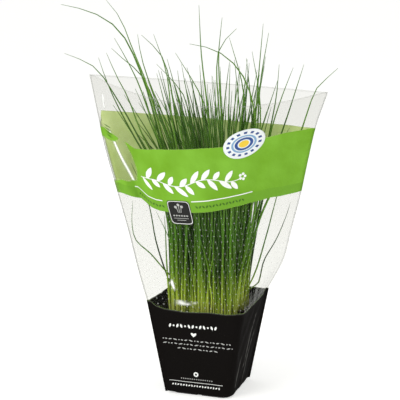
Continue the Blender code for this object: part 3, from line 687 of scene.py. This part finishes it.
prints = {
    # vertex layers: mm over the base's edge, over the band's foot, under its top, then bare film and crease
    # lines, which are partly painted glare
    "layers": ("overBase", "overFoot", "underTop", "unprinted", "crease"),
    # in mm: an edge's softness, the base's grey edge, the band's darker strip, where the holes stop
    "soft": 0.25, "edgeBand": 1.1, "stripTop": 10.6, "holesTop": -4.0,
    # beside the left seam the sheet folds away: how far across it is bare at heights q, and the spot left
    "bareHeights": [0.545, 0.565, 0.62, 0.68, 0.73, 0.77],
    "bareReach": [0.0, 0.118, 0.135, 0.128, 0.108, 0.085],
    "spot": (0.03, 0.765), "spotHalf": (0.05, 0.04),
    # each printed area's edge as (place across, height); heights are q on the band and mm on the base
    "topFront": [(0, 0.775), (0.02, 0.767), (0.105, 0.74), (0.155, 0.727), (0.29, 0.76), (0.49, 0.793),
                 (0.635, 0.807), (0.74, 0.827), (0.87, 0.84), (1, 0.827)],
    "footFront": [(0, 0.487), (0.115, 0.487), (0.16, 0.462), (0.2, 0.455), (0.27, 0.46), (0.425, 0.48),
                  (0.565, 0.5), (0.71, 0.52), (0.825, 0.527), (1, 0.51)],
    "topBack": [(0, 0.845), (0.215, 0.833), (0.45, 0.827), (0.67, 0.82), (0.87, 0.827), (1, 0.827)],
    "footBack": [(0, 0.5), (0.3, 0.51), (0.7, 0.52), (1, 0.515)],
    "baseFront": [(0, 105), (0.03, 99.5), (0.075, 97), (0.185, 95.5), (0.325, 97.5), (0.415, 97),
                  (0.48, 98.5), (0.585, 97), (0.745, 97), (0.92, 97.5), (0.98, 101), (1, 103)],
    "baseBack": [(0, 105), (0.2, 103.5), (0.5, 103), (0.8, 102), (1, 101)],
    # pale crease lines in the front sheet as (height q, place across, width in mm): partly whitened film and
    # partly painted glare
    "creases": [
        [(0.5, 0.118, 0.7), (0.56, 0.1, 1.4), (0.62, 0.082, 1.8), (0.7, 0.055, 1.5), (0.78, 0.03, 0.7)],
        [(0.86, 0.03, 0.4), (0.9, 0.033, 0.8), (0.94, 0.038, 0.4)],
        [(0.0, 0.175, 4.0), (0.012, 0.185, 8.0), (0.03, 0.17, 3.0)],
        [(0.0, 0.2, 1.5), (0.016, 0.212, 4.5), (0.024, 0.22, 1.0)],
        [(0.01, 0.235, 1.0), (0.02, 0.25, 3.0), (0.03, 0.26, 1.0)],
        [(0.07, 0.16, 0.8), (0.105, 0.155, 2.0), (0.13, 0.16, 0.8)],
        # the three lines on the base's right-hand face are painted sheen on its wrinkles
        [(-0.92, 0.6, 1.0), (-0.75, 0.63, 2.2), (-0.6, 0.655, 0.8)],
        [(-0.8, 0.74, 0.7), (-0.5, 0.79, 1.8), (-0.2, 0.85, 0.7)],
        [(-0.95, 0.78, 0.6), (-0.7, 0.83, 1.5), (-0.4, 0.88, 0.8)],
    ],
    # a thin pale, glowing line along the mouth's edge, drawn with the crease lines: a painted highlight
    "sheetScale": 230, "mouthEdgeHighlight": 0.2,
}


def alongEdge(name, a):
    table = np.array(prints[name], float)
    return np.interp(a, table[:, 0], table[:, 1])


def printHeights(q, a, front):
    # the values for prints["layers"] at height q and place a
    edge = "Front" if front else "Back"
    rise = mouthRise(a, front)
    over = levelAt(q, rise) - alongEdge("base" + edge, a)
    foot = (q - alongEdge("foot" + edge, a)) * rise
    top = (alongEdge("top" + edge, a) - q) * rise
    # the mouth's edge gets a painted highlight line
    bare, crease = np.zeros_like(over), prints["mouthEdgeHighlight"] * (q > 0.996)
    if front:
        side = np.interp(q, prints["bareHeights"], prints["bareReach"])
        (spotA, spotQ), (halfA, halfQ) = prints["spot"], prints["spotHalf"]
        spot = np.hypot((a - spotA) / halfA, (q - spotQ) / halfQ)
        bare = np.clip((side - a) * 40 + 0.5, 0, 1) * np.clip((spot - 1) * 6 + 0.5, 0, 1)
        # the crease lines are partly whitened film and partly painted glare lines
        for line in prints["creases"]:
            height, across, width = np.array(line).T
            aside = (a - np.interp(q, height, across)) * prints["sheetScale"] / np.interp(q, height, width)
            ends = np.clip((q - height[0]) * 70, 0, 1) * np.clip((height[-1] - q) * 70, 0, 1)
            crease = np.maximum(crease, np.exp(-aside ** 2) * ends)
    return over, foot, top, bare, crease


def clearFilmMaterial(name, upperGreens, stripGreen, blackInk, edgeInk, glow=0.0):
    # Printed polypropylene film: clear and very smooth, seen as thin glare lines and a faint grey veil.
    # The inks are opaque with a soft gloss. From inside they are painted paler and glow, painted light for
    # the daylight that shines through.
    made, add = blankMaterial(name)
    over, foot, top, bare, creaseAndGlareMask = (add("Attribute", {"attribute_name": layer}).outputs["Fac"]
                                     for layer in prints["layers"])
    uv = add("UVMap", {"uv_map": "flatSheet"})
    place = add("SeparateXYZ", Vector=uv)
    soft, edgeBand, stripTop, holesTop = (prints[key] for key in ("soft", "edgeBand", "stripTop", "holesTop"))

    # each mask is 1 inside its area and fades over its edge
    base = add("MapRange", s0=over, s1=soft, s2=-soft)
    overEdge = add("MapRange", s0=over, s1=-edgeBand - soft, s2=-edgeBand + soft)
    edgeLine = add("Math", times, s0=overEdge, s1=base)
    overFoot = add("MapRange", s0=foot, s1=-soft, s2=soft)
    underTop = add("MapRange", s0=top, s1=-soft, s2=soft)
    band = add("Math", times, s0=overFoot, s1=underTop)
    low = add("MapRange", s0=foot, s1=stripTop + soft, s2=stripTop - soft)
    strip = add("Math", times, s0=band, s1=low)
    covered = add("MapRange", s0=bare, s1=0.5 + soft, s2=0.5 - soft)
    banded = add("Math", times, s0=band, s1=covered)
    printed = add("Math", larger, s0=base, s1=banded)

    # the greens drift over about 30 mm, and the black ink thins to dark grey along its top edge
    wide = add("TexNoise", flatNoise, Vector=uv, Scale=0.03, Detail=3.0)
    greens = add("ValToRGB", Fac=wide)
    paintRamp(greens, [(0.3, upperGreens[0]), (0.7, upperGreens[1])])
    lower = add("Mix", rgba, s0=strip, s6=greens, s7=colour(stripGreen))
    dark = add("Mix", rgba, s0=edgeLine, s6=colour(blackInk), s7=colour(edgeInk))
    ink = add("Mix", rgba, s0=base, s6=lower, s7=dark)
    # where crease lines cross the black base it is painted lighter grey: a painted sheen on the wrinkles
    sheenOnBlackBase = add("Math", times, s0=creaseAndGlareMask, s1=base)
    inkAndSheen = add("Mix", rgba, s0=sheenOnBlackBase, s6=ink, s7=colour("#605F5C"))
    crinkle = add("TexNoise", flatNoise, Vector=uv, Scale=0.11, Detail=2.5)
    bump = add("Bump", Strength=0.35, Distance=0.0016, Height=crinkle)
    dull = add("MapRange", s0=base, s3=0.34, s4=0.75)
    inkShader = add("BsdfPrincipled", Base_Color=inkAndSheen, Roughness=dull, IOR=1.5, Normal=bump,
                    Specular_IOR_Level=0.012, Emission_Color=inkAndSheen, Emission_Strength=glow)

    # breathing holes below the band: dots 0.9 mm wide on a 6.4 x 6 mm grid, coarser than real ones
    cellX = add("Math", {"operation": "WRAP"}, s0=place.outputs["X"], s1=3.2, s2=-3.2)
    cellY = add("Math", {"operation": "WRAP"}, s0=place.outputs["Y"], s1=3.0, s2=-3.0)
    cell = add("CombineXYZ", X=cellX, Y=cellY)
    reach = add("VectorMath", {"operation": "LENGTH"}, s0=cell)
    pricked = add("MapRange", s0=reach.outputs["Value"], s1=0.62, s2=0.3)
    underBand = add("MapRange", s0=foot, s1=holesTop + soft, s2=holesTop - soft)
    dots = add("Math", times, s0=pricked, s1=underBand)

    # the film greys where it turns away from the eye. The crease lines and the mouth's edge are painted white
    # and glow, partly whitened film and partly painted glare, and the holes are painted pale and glowing:
    # painted light
    facing = add("LayerWeight", Blend=0.3, Normal=bump)
    veil = add("MapRange", s0=facing.outputs["Facing"], s1=0.5, s2=1.0, s3=0.008, s4=0.4)
    creased = add("Math", times, s0=creaseAndGlareMask, s1=0.85)
    whitened = add("Math", larger, s0=veil, s1=creased)
    faintDots = add("Math", times, s0=dots, s1=0.3)
    cover = add("Math", larger, s0=faintDots, s1=whitened)
    paler = add("Math", larger, s0=creaseAndGlareMask, s1=dots)
    veilTint = add("Mix", rgba, s0=paler, s6=colour("#A9ABA5"), s7=colour("#F4F5F2"))
    # a glow at the crease lines, holes and mouth's edge: painted light
    glint = add("Math", times, s0=paler, s1=0.45)
    clear = add("BsdfTransparent", Color=colour("#F9F9F8"))
    sheen = add("BsdfPrincipled", Base_Color=veilTint, Roughness=0.2, IOR=1.5, Normal=bump,
                Specular_IOR_Level=0.5, Emission_Color=colour("#FFFFFF"), Emission_Strength=glint)
    film = add("MixShader", Fac=cover, s1=clear, s2=sheen)
    whole = add("MixShader", Fac=printed, s1=film, s2=inkShader)
    add("OutputMaterial", Surface=whole)
    return made


def makeWrap(looks):
    columns, rows, lowRows, gap = (wrap[key] for key in ("columns", "rows", "lowRows", "finGap"))
    half = columns // 2
    shape = bmesh.new()
    flatMap = shape.loops.layers.uv.new("flatSheet")
    layers = [shape.verts.layers.float.new(name) for name in prints["layers"]]
    heights = np.concatenate([np.linspace(-1, 0, lowRows + 1)[:-1], np.linspace(0, 1, rows - lowRows + 1)])
    inner = np.interp(np.linspace(0, 1, half - 1), *wrap["spread"])
    places = np.zeros((rows + 1, columns + 1, 3))
    marks = np.zeros((len(layers), rows + 1, columns + 1))
    # columns run along the front from fin to fin, then back along the other sheet to the first fin
    for start, front in ((0, True), (half, False)):
        q, a = np.meshgrid(heights, inner if front else inner[::-1], indexing="ij")
        places[:, start + 1:start + half] = filmPlaces(q, a, front)
        marks[:, :, start + 1:start + half] = printHeights(q, a, front)
        places[:, start] = finPlaces(heights, not front, gap if front else -gap)
        marks[:, :, start] = printHeights(heights, np.full_like(heights, 0.0 if front else 1.0), front)
    # each fin's two layers meet in the middle between them
    places[:, half] = (places[:, half] + finPlaces(heights, True, gap)) / 2
    places[:, 0] = places[:, columns] = (places[:, 0] + finPlaces(heights, False, -gap)) / 2
    marks[:, :, columns] = marks[:, :, 0]
    across = np.zeros((rows + 1, columns + 1))
    across[:, 1:] = np.cumsum(np.linalg.norm(np.diff(places, axis=1), axis=2), axis=1)
    flat = np.stack([across - across[:, half // 2][:, None], places[..., 2]], axis=-1)
    layGrid(shape, places, flat, flatMap, list(zip(layers, marks)))
    bmesh.ops.remove_doubles(shape, verts=shape.verts, dist=1e-6)
    piece = pieceFrom("printedWrap", shape, looks)
    thicken(piece, wrap["thickness"], -1, 1)
    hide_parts("sleeve")


outerFilm = clearFilmMaterial("printedClearFilm", ("#72A52C", "#7EB43B"), "#71A433", "#131110", "#3C3B38")
# the inside's paler greens, lighter blacks and their glow are painted light for daylight shining through the
# ink
innerFilm = clearFilmMaterial("printedClearFilmInside",
                              ("#C0D284", "#D5E2A2"), "#CBDA94", "#161513", "#4A4946", 0.28)
makeWrap([outerFilm, innerFilm])
print("wrap made")

sticker = {
    # at height q and place across, then in mm
    "at": (0.816, 0.69), "half": (22.5, 14.0), "tilt": math.radians(20), "lift": 0.35, "thick": 0.2,
    "steps": 28,
}


def onSheet(anchor, u, v, lift):
    # a place on the front u, v millimetres from an anchor (q, a), measured along the film
    q0, a0 = anchor
    step = 0.004
    near = [filmPlaces(q0 + dq, a0 + da, True, 0, False)
            for dq, da in ((0, step), (0, -step), (step, 0), (-step, 0))]
    sideways, upward = (near[0] - near[1]) / (2 * step), (near[2] - near[3]) / (2 * step)
    wide = np.linalg.norm(sideways)
    slip = upward @ sideways / wide
    dq = v / math.sqrt(upward @ upward - slip ** 2)
    return filmPlaces(q0 + dq, a0 + (u - dq * slip) / wide, True, lift)


def stickerMaterial():
    # Glossy vinyl label: white with printed rings in blue and yellow and a smooth clear coat.
    made, add = blankMaterial("printedVinylLabel")
    uv = add("UVMap", {"uv_map": "labelFace"})
    reach = add("VectorMath", {"operation": "LENGTH"}, s0=uv)
    ramp = add("ValToRGB", Fac=reach.outputs["Value"])
    ramp.color_ramp.interpolation = "CONSTANT"
    paintRamp(ramp, [(0.0, "#EBC63A"), (0.24, "#DDE3E4"), (0.3, "#2B4C8C"), (0.44, "#DDE3E4"),
                     (0.5, "#7FA3C4"), (0.6, "#E3E7E7")])
    # a ring of thirty blue beads between the rings
    place = add("SeparateXYZ", Vector=uv)
    angle = add("Math", {"operation": "ARCTAN2"}, s0=place.outputs["Y"], s1=place.outputs["X"])
    around = add("Math", times, s0=angle, s1=15.0)
    swing = add("Math", {"operation": "COSINE"}, s0=around)
    ring = add("Math", {"operation": "COMPARE"}, s0=reach.outputs["Value"], s1=0.77, s2=0.075)
    blob = add("Math", {"operation": "GREATER_THAN"}, s0=swing, s1=0.1)
    bead = add("Math", times, s0=ring, s1=blob)
    face = add("Mix", rgba, s0=bead, s6=ramp, s7=colour("#2B4782"))
    wave = add("TexNoise", Vector=uv, Scale=3.0, Detail=2.0)
    bump = add("Bump", Strength=0.1, Distance=0.0005, Height=wave)
    shader = add("BsdfPrincipled", Base_Color=face, Roughness=0.3, IOR=1.5,
                 Normal=bump, Specular_IOR_Level=0.3)
    add("OutputMaterial", Surface=shader)
    return made


def makeSticker(look):
    shape = bmesh.new()
    labelMap = shape.loops.layers.uv.new("labelFace")
    # a square grid pressed into a disc
    steps = np.linspace(-1, 1, sticker["steps"] + 1)
    x, y = np.meshgrid(steps, steps)
    flat = np.stack([x * np.sqrt(1 - y ** 2 / 2), y * np.sqrt(1 - x ** 2 / 2)], axis=-1)
    u, v = flat[..., 0] * sticker["half"][0], flat[..., 1] * sticker["half"][1]
    cos, sin = math.cos(sticker["tilt"]), math.sin(sticker["tilt"])
    places = onSheet(sticker["at"], u * cos - v * sin, u * sin + v * cos, sticker["lift"])
    layGrid(shape, places, flat, labelMap)
    piece = pieceFrom("roundLabel", shape, [look])
    thicken(piece, sticker["thick"], 1)
    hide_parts("oval_sticker")


makeSticker(stickerMaterial())
print("label made")

ornaments = {
    "ink": 0.12, "thick": 0.08,
    # the band's sprig: its stem's start, end, height over the band's foot, wave and the wave's stretch
    "stem": (44, 152, 30.5, 3.0, 9.0), "stemHalf": (0.68, 0.42), "leaf": (8.4, 2.6), "leafPitch": 5.9,
    "rule": [(25, 64), (96, 164)], "ruleHeight": (11.6, 1.0),
    # dashes under the rule: count, start, pitch, height and the span that the tag covers
    "dashes": (34, 30.0, 3.7, 5.6, (64, 98)),
    "tag": {"at": (80.5, 0.2), "half": 12.6, "turn": math.radians(-1.5), "rounding": 0.09},
    # rows on the base: start, end, height, half lengths in turn, gap, share filled and half height
    "baseRows": [(-38, 38, 63.5, (0.9, 1.45, 2.0, 2.55), 0.9, 0.9, 0.62),
                 (-38, 38, 58.8, (2.55, 0.9, 1.45, 2.0), 0.9, 0.9, 0.62),
                 (-22, 18, 54.0, (2.0, 2.55, 0.9, 1.45), 0.9, 0.9, 0.62),
                 (-19.5, 16, 19.2, (0.8,), 0.8, 0.84, 0.66)],
    "ringDot": (-2.5, 25.0, 1.2),
    # single marks as kind, place, half width and height, turn in radians, steps and ink
    "baseMarks": [("heart", -3.5, 70.5, 3.1, 3.1, 0, 32), ("disc", -2.5, 25.0, 2.7, 2.7, 0, 28),
                  ("bar", -3.0, 15.4, 29.5, 0.22, 0, 24)],
    # stalks of the tag's posy: place, top and slant
    "posy": [(0.0, 8.2, 0.0), (-3.4, 5.8, 0.2), (3.4, 6.4, -0.2)],
    "tagRules": [(-6.0, 8.3), (-8.0, 5.0)],
    # the green spot's stripes, from its middle at height q and place across
    "spotAt": (0.765, 0.036), "stripes": 4,
}


def bandTable():
    # how far along the band, in mm at its middle, each place across the front sheet lies
    a = np.linspace(0, 1, 400)
    q = (alongEdge("topFront", a) + alongEdge("footFront", a)) / 2
    return a, runAlong(filmPlaces(q, a, True, 0, False))


bandA, bandRun = bandTable()


def onBand(u, v, lift):
    a = np.interp(u, bandRun, bandA)
    q = alongEdge("footFront", a) + np.asarray(v) / (mouthRise(a, True) * 1.03)
    return filmPlaces(q, a, True, lift)


def onBase(u, v, lift):
    # u mm right of the front face's middle line and v mm above the ground
    q = (np.asarray(v, float) - wrap["rimZ"]) / (wrap["rimZ"] - wrap["footZ"])
    half = wrap["rimHalf"] + q * (wrap["rimHalf"] - wrap["footHalf"])
    return filmPlaces(q, (np.asarray(u) + half) / (4 * half), True, lift)


class Press:
    # gathers flat marks and prints them on the film as one thin piece
    def __init__(self, name, spot, looks, lift):
        self.name, self.spot, self.looks, self.lift = name, spot, looks, lift
        self.shape = bmesh.new()

    def mark(self, kind, u, v, wide, tall, turn=0.0, steps=1, look=0):
        if kind == "bar":
            made = bmesh.ops.create_grid(self.shape, x_segments=steps, y_segments=1, size=1.0)
        else:
            made = bmesh.ops.create_circle(self.shape, cap_ends=True, cap_tris=True,
                                           segments=steps, radius=1.0)
        fresh = made["verts"]
        for vertex in fresh:
            x, y = vertex.co.x, vertex.co.y
            if kind == "leaf":
                y *= (1 - x * x) ** 0.35 if abs(x) < 1 else 0
            elif kind == "heart":
                y, x = 0.55 * y + 0.62 * abs(x) ** 0.75 - 0.2 + 0.12 * (y < 0) * y, x * 0.95
            x, y = x * wide, y * tall
            cos, sin = math.cos(turn), math.sin(turn)
            place = self.spot(u + x * cos - y * sin, v + x * sin + y * cos, self.lift + 0.1 * look)
            vertex.co = Vector(place) * mm
        for face in {face for vertex in fresh for face in vertex.link_faces}:
            face.material_index = look

    def pull(self):
        piece = pieceFrom(self.name, self.shape, self.looks, False)
        thicken(piece, ornaments["thick"], 1)


def inkMaterial(name, hexValue):
    # Printing ink under the film's gloss: opaque, with the print's slight unevenness.
    made, add = blankMaterial(name + "PrintingInk")
    spot = add("TexCoord").outputs["Object"]
    grain = add("TexNoise", Vector=spot, Scale=900.0, Detail=2.0)
    shade = add("MapRange", s0=grain, s3=0.86, s4=1.04)
    tint = add("Mix", {**rgba, "blend_type": "MULTIPLY"}, s0=1.0, s6=colour(hexValue), s7=shade)
    shader = add("BsdfPrincipled", Base_Color=tint, Roughness=0.35, Specular_IOR_Level=0.25)
    add("OutputMaterial", Surface=shader)
    return made


inkColours = {"white": "#F4F6F1", "black": "#141412", "pale": "#B4B5B1", "darkGreen": "#3F6B12"}
whiteInk, blackInk, greyInk, greenInk = (inkMaterial(name, hexValue) for name, hexValue in inkColours.items())


def printBand():
    press = Press("bandSprig", onBand, [whiteInk], ornaments["ink"])
    first, last, middle, wave, stretch = ornaments["stem"]
    u = np.linspace(first, last, 100)
    v = middle + wave * np.sin((u - first) / stretch)
    for i in range(len(u) - 1):
        turn = math.atan2(v[i + 1] - v[i], u[i + 1] - u[i])
        press.mark("bar", (u[i] + u[i + 1]) / 2, (v[i] + v[i + 1]) / 2, *ornaments["stemHalf"], turn)
    long, wide = ornaments["leaf"]
    for k, place in enumerate(np.arange(first + 3, last - 5, ornaments["leafPitch"])):
        # leaves grow to both sides in turn, with a little unevenness
        height = middle + wave * math.sin((place - first) / stretch)
        turn = (1 if k % 2 else -1) * math.radians(48 + 8 * math.sin(k * 1.7))
        reach = long * (0.82 + 0.18 * math.sin(k * 2.3))
        press.mark("leaf", place + reach * math.cos(turn) * 0.95, height + reach * math.sin(turn) * 0.95,
                   reach, wide, turn, 20)
    for k in range(5):
        u, v = last + 2 + 2.8 * math.cos(k * 1.257), middle + 2.8 * math.sin(k * 1.257)
        press.mark("disc", u, v, 1.5, 1.5, 0, 14)
    height, thick = ornaments["ruleHeight"]
    for start, end in ornaments["rule"]:
        press.mark("bar", (start + end) / 2, height, (end - start) / 2, thick / 2, 0, 60)
    press.pull()
    dashes = Press("bandDashes", onBand, [greenInk], ornaments["ink"])
    count, start, pitch, height, (coverStart, coverEnd) = ornaments["dashes"]
    for k in range(count):
        place = start + pitch * k
        if not coverStart < place < coverEnd:
            dashes.mark("leaf", place, height, 1.7, 0.8, math.radians(50) * (-1) ** k, 10)
    dashes.pull()

    def onSpot(u, v, lift):
        # u, v mm from the middle of the green spot beside the left seam
        (q, a), scale = ornaments["spotAt"], prints["sheetScale"]
        return filmPlaces(q + v / scale, a + u / scale, True, lift)

    stripes = Press("spotStripes", onSpot, [greenInk], ornaments["ink"])
    for k in range(ornaments["stripes"]):
        stripes.mark("leaf", -2.2, 5.0 - 3.2 * k, 4.6 - 0.5 * k, 0.5, math.radians(-12 - 6 * k), 16)
    stripes.pull()


def printTag():
    tag = ornaments["tag"]
    u0, v0 = tag["at"]
    cos, sin = math.cos(tag["turn"]), math.sin(tag["turn"])

    def onTag(u, v, lift):
        return onBand(u0 + u * cos - v * sin, v0 + u * sin + v * cos, lift)

    half = tag["half"]
    for name, look, share in (("tagPlate", 0, 1), ("tagBorder", 1, 0.95), ("tagFace", 0, 0.905)):
        size = half * share
        patch = Press(name, onTag, [blackInk, whiteInk], 0.15 + (half - size) * 0.16)
        tile = bmesh.ops.create_grid(patch.shape, x_segments=14, y_segments=14, size=1.0)["verts"]
        for vertex in tile:
            x, y = vertex.co.x, vertex.co.y
            # the corners are drawn in a little, so that they come out round
            pull = 1 - tag["rounding"] * (abs(x) * abs(y)) ** 6
            vertex.co = Vector(onTag(x * size * pull, y * size * pull, patch.lift)) * mm
        for face in patch.shape.faces:
            face.material_index = look
        patch.pull()
    press = Press("tagPosy", onTag, [blackInk, greyInk], 0.45)
    for place, top, slant in ornaments["posy"]:
        press.mark("bar", place * 0.6, top / 2 - 0.4, top / 2 - 0.4, 0.3, math.pi / 2 + slant, 6, 1)
        press.mark("disc", place, top, 1.55, 1.4, 0, 16, 1)
    for k in range(6):
        press.mark("leaf", -7.25 + 2.9 * k, -3.2, 1.15, 0.8, 0, 10, 1)
    for height, reach in ornaments["tagRules"]:
        press.mark("bar", 0, height, reach, 0.22, 0, 12, 1)
    press.pull()


def printBase():
    press = Press("baseOrnament", onBase, [whiteInk, greyInk], ornaments["ink"])
    # a row of bold petals and dots, rows of dashes, a heart, a ring, a rule and a row of leaves
    for k in range(13):
        across, height = -29 + 4.15 * k, 79.0 + 0.1 * k
        if k % 3 == 1:
            press.mark("disc", across, height, 1.0, 1.0, 0, 16)
        else:
            press.mark("leaf", across, height, 2.3, 1.15, math.radians(90 - 22 * (-1) ** k), 12)
    for start, end, height, sizes, gap, fill, tall in ornaments["baseRows"]:
        place, k = start, 0
        while place < end:
            size = sizes[k % len(sizes)]
            press.mark("leaf", place + size, height, size * fill, tall, 0.25 * (-1) ** k, 10, 1)
            place += 2 * size + gap
            k += 1
    for mark in ornaments["baseMarks"]:
        press.mark(*mark)
    for k in range(18):
        press.mark("leaf", -28.5 + 3.0 * k, 11.3, 1.35, 0.75, math.radians(90 if k % 2 else 35), 10)
    press.pull()
    dot = Press("baseRingDot", onBase, [blackInk], 0.3)
    u, v, size = ornaments["ringDot"]
    dot.mark("disc", u, v, size, size, 0, 20)
    dot.pull()


printBand()
printTag()
printBase()
print("ornaments printed")


def potMaterial():
    # Moulded polypropylene pot: near-black, dull, with a faint grain from the mould.
    made, add = blankMaterial("mouldedBlackPlastic")
    spot = add("TexCoord").outputs["Object"]
    grain = add("TexNoise", Vector=spot, Scale=2500.0, Detail=2.0)
    shade = add("MapRange", s0=grain, s3=0.38, s4=0.55)
    bump = add("Bump", Strength=0.15, Distance=0.0001, Height=grain)
    dust = add("TexNoise", Vector=spot, Scale=60.0, Detail=4.0)
    ramp = add("ValToRGB", Fac=dust)
    paintRamp(ramp, [(0.35, "#151412"), (0.8, "#2A2723")])
    shader = add("BsdfPrincipled", Base_Color=ramp, Roughness=shade, Normal=bump, IOR=1.49)
    add("OutputMaterial", Surface=shader)
    return made


def soilMaterial():
    # Damp peat compost: dark brown and fully rough, with lighter fibres a few millimetres long.
    made, add = blankMaterial("dampPeat")
    spot = add("TexCoord").outputs["Object"]
    crumb = add("TexNoise", Vector=spot, Scale=320.0, Detail=6.0, Roughness=0.7)
    fibre = add("TexVoronoi", Vector=spot, Scale=260.0)
    ramp = add("ValToRGB", Fac=crumb)
    paintRamp(ramp, [(0.3, "#150D08"), (0.55, "#3A2516"), (0.75, "#6B4A2C")])
    both = add("Math", {"operation": "MULTIPLY_ADD"}, s0=fibre, s1=0.4, s2=crumb)
    bump = add("Bump", Strength=1.0, Distance=0.0015, Height=both)
    shader = add("BsdfPrincipled", Base_Color=ramp, Roughness=0.95, Normal=bump)
    add("OutputMaterial", Surface=shader)
    return made


for nodeName, look in (("pot", potMaterial()), ("soil", soilMaterial())):
    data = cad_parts[nodeName].data
    if not data.materials:
        data.materials.append(look)
    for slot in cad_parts[nodeName].material_slots:
        slot.material = look
print("pot and soil finished")

crumbs = {
    "count": 420, "size": (0.7, 2.0), "squash": [(0.7, 1.3), (0.7, 1.3), (0.4, 0.8)], "rough": (0.8, 1.15),
    "reach": 42.0, "height": 83.6, "swell": 0.9, "seed": 21,
}


def makeCrumbs(look):
    # loose peat crumbs and bits of bark lying on the soil
    rng = random.Random(crumbs["seed"])
    shape = bmesh.new()
    for _ in range(crumbs["count"]):
        x, y = (rng.uniform(-crumbs["reach"], crumbs["reach"]) for _ in "xy")
        size = rng.uniform(*crumbs["size"])
        made = bmesh.ops.create_icosphere(shape, subdivisions=1, radius=1.0)["verts"]
        squash = Vector([rng.uniform(*span) for span in crumbs["squash"]]) * size
        turn = Matrix.Rotation(rng.uniform(0, 6.28), 3, "Z") @ Matrix.Rotation(rng.uniform(-0.5, 0.5), 3, "X")
        swell = crumbs["swell"] * math.sin(0.19 * x) * math.cos(0.16 * y)
        middle = Vector((x, y, crumbs["height"] + swell))
        for vertex in made:
            rough = vertex.co * rng.uniform(*crumbs["rough"])
            rough = turn @ Vector((rough.x * squash.x, rough.y * squash.y, rough.z * squash.z))
            vertex.co = (rough + middle) * mm
    piece = pieceFrom("soilCrumbs", shape, [look], False)


makeCrumbs(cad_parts["soil"].material_slots[0].material)
print("soil crumbs scattered")
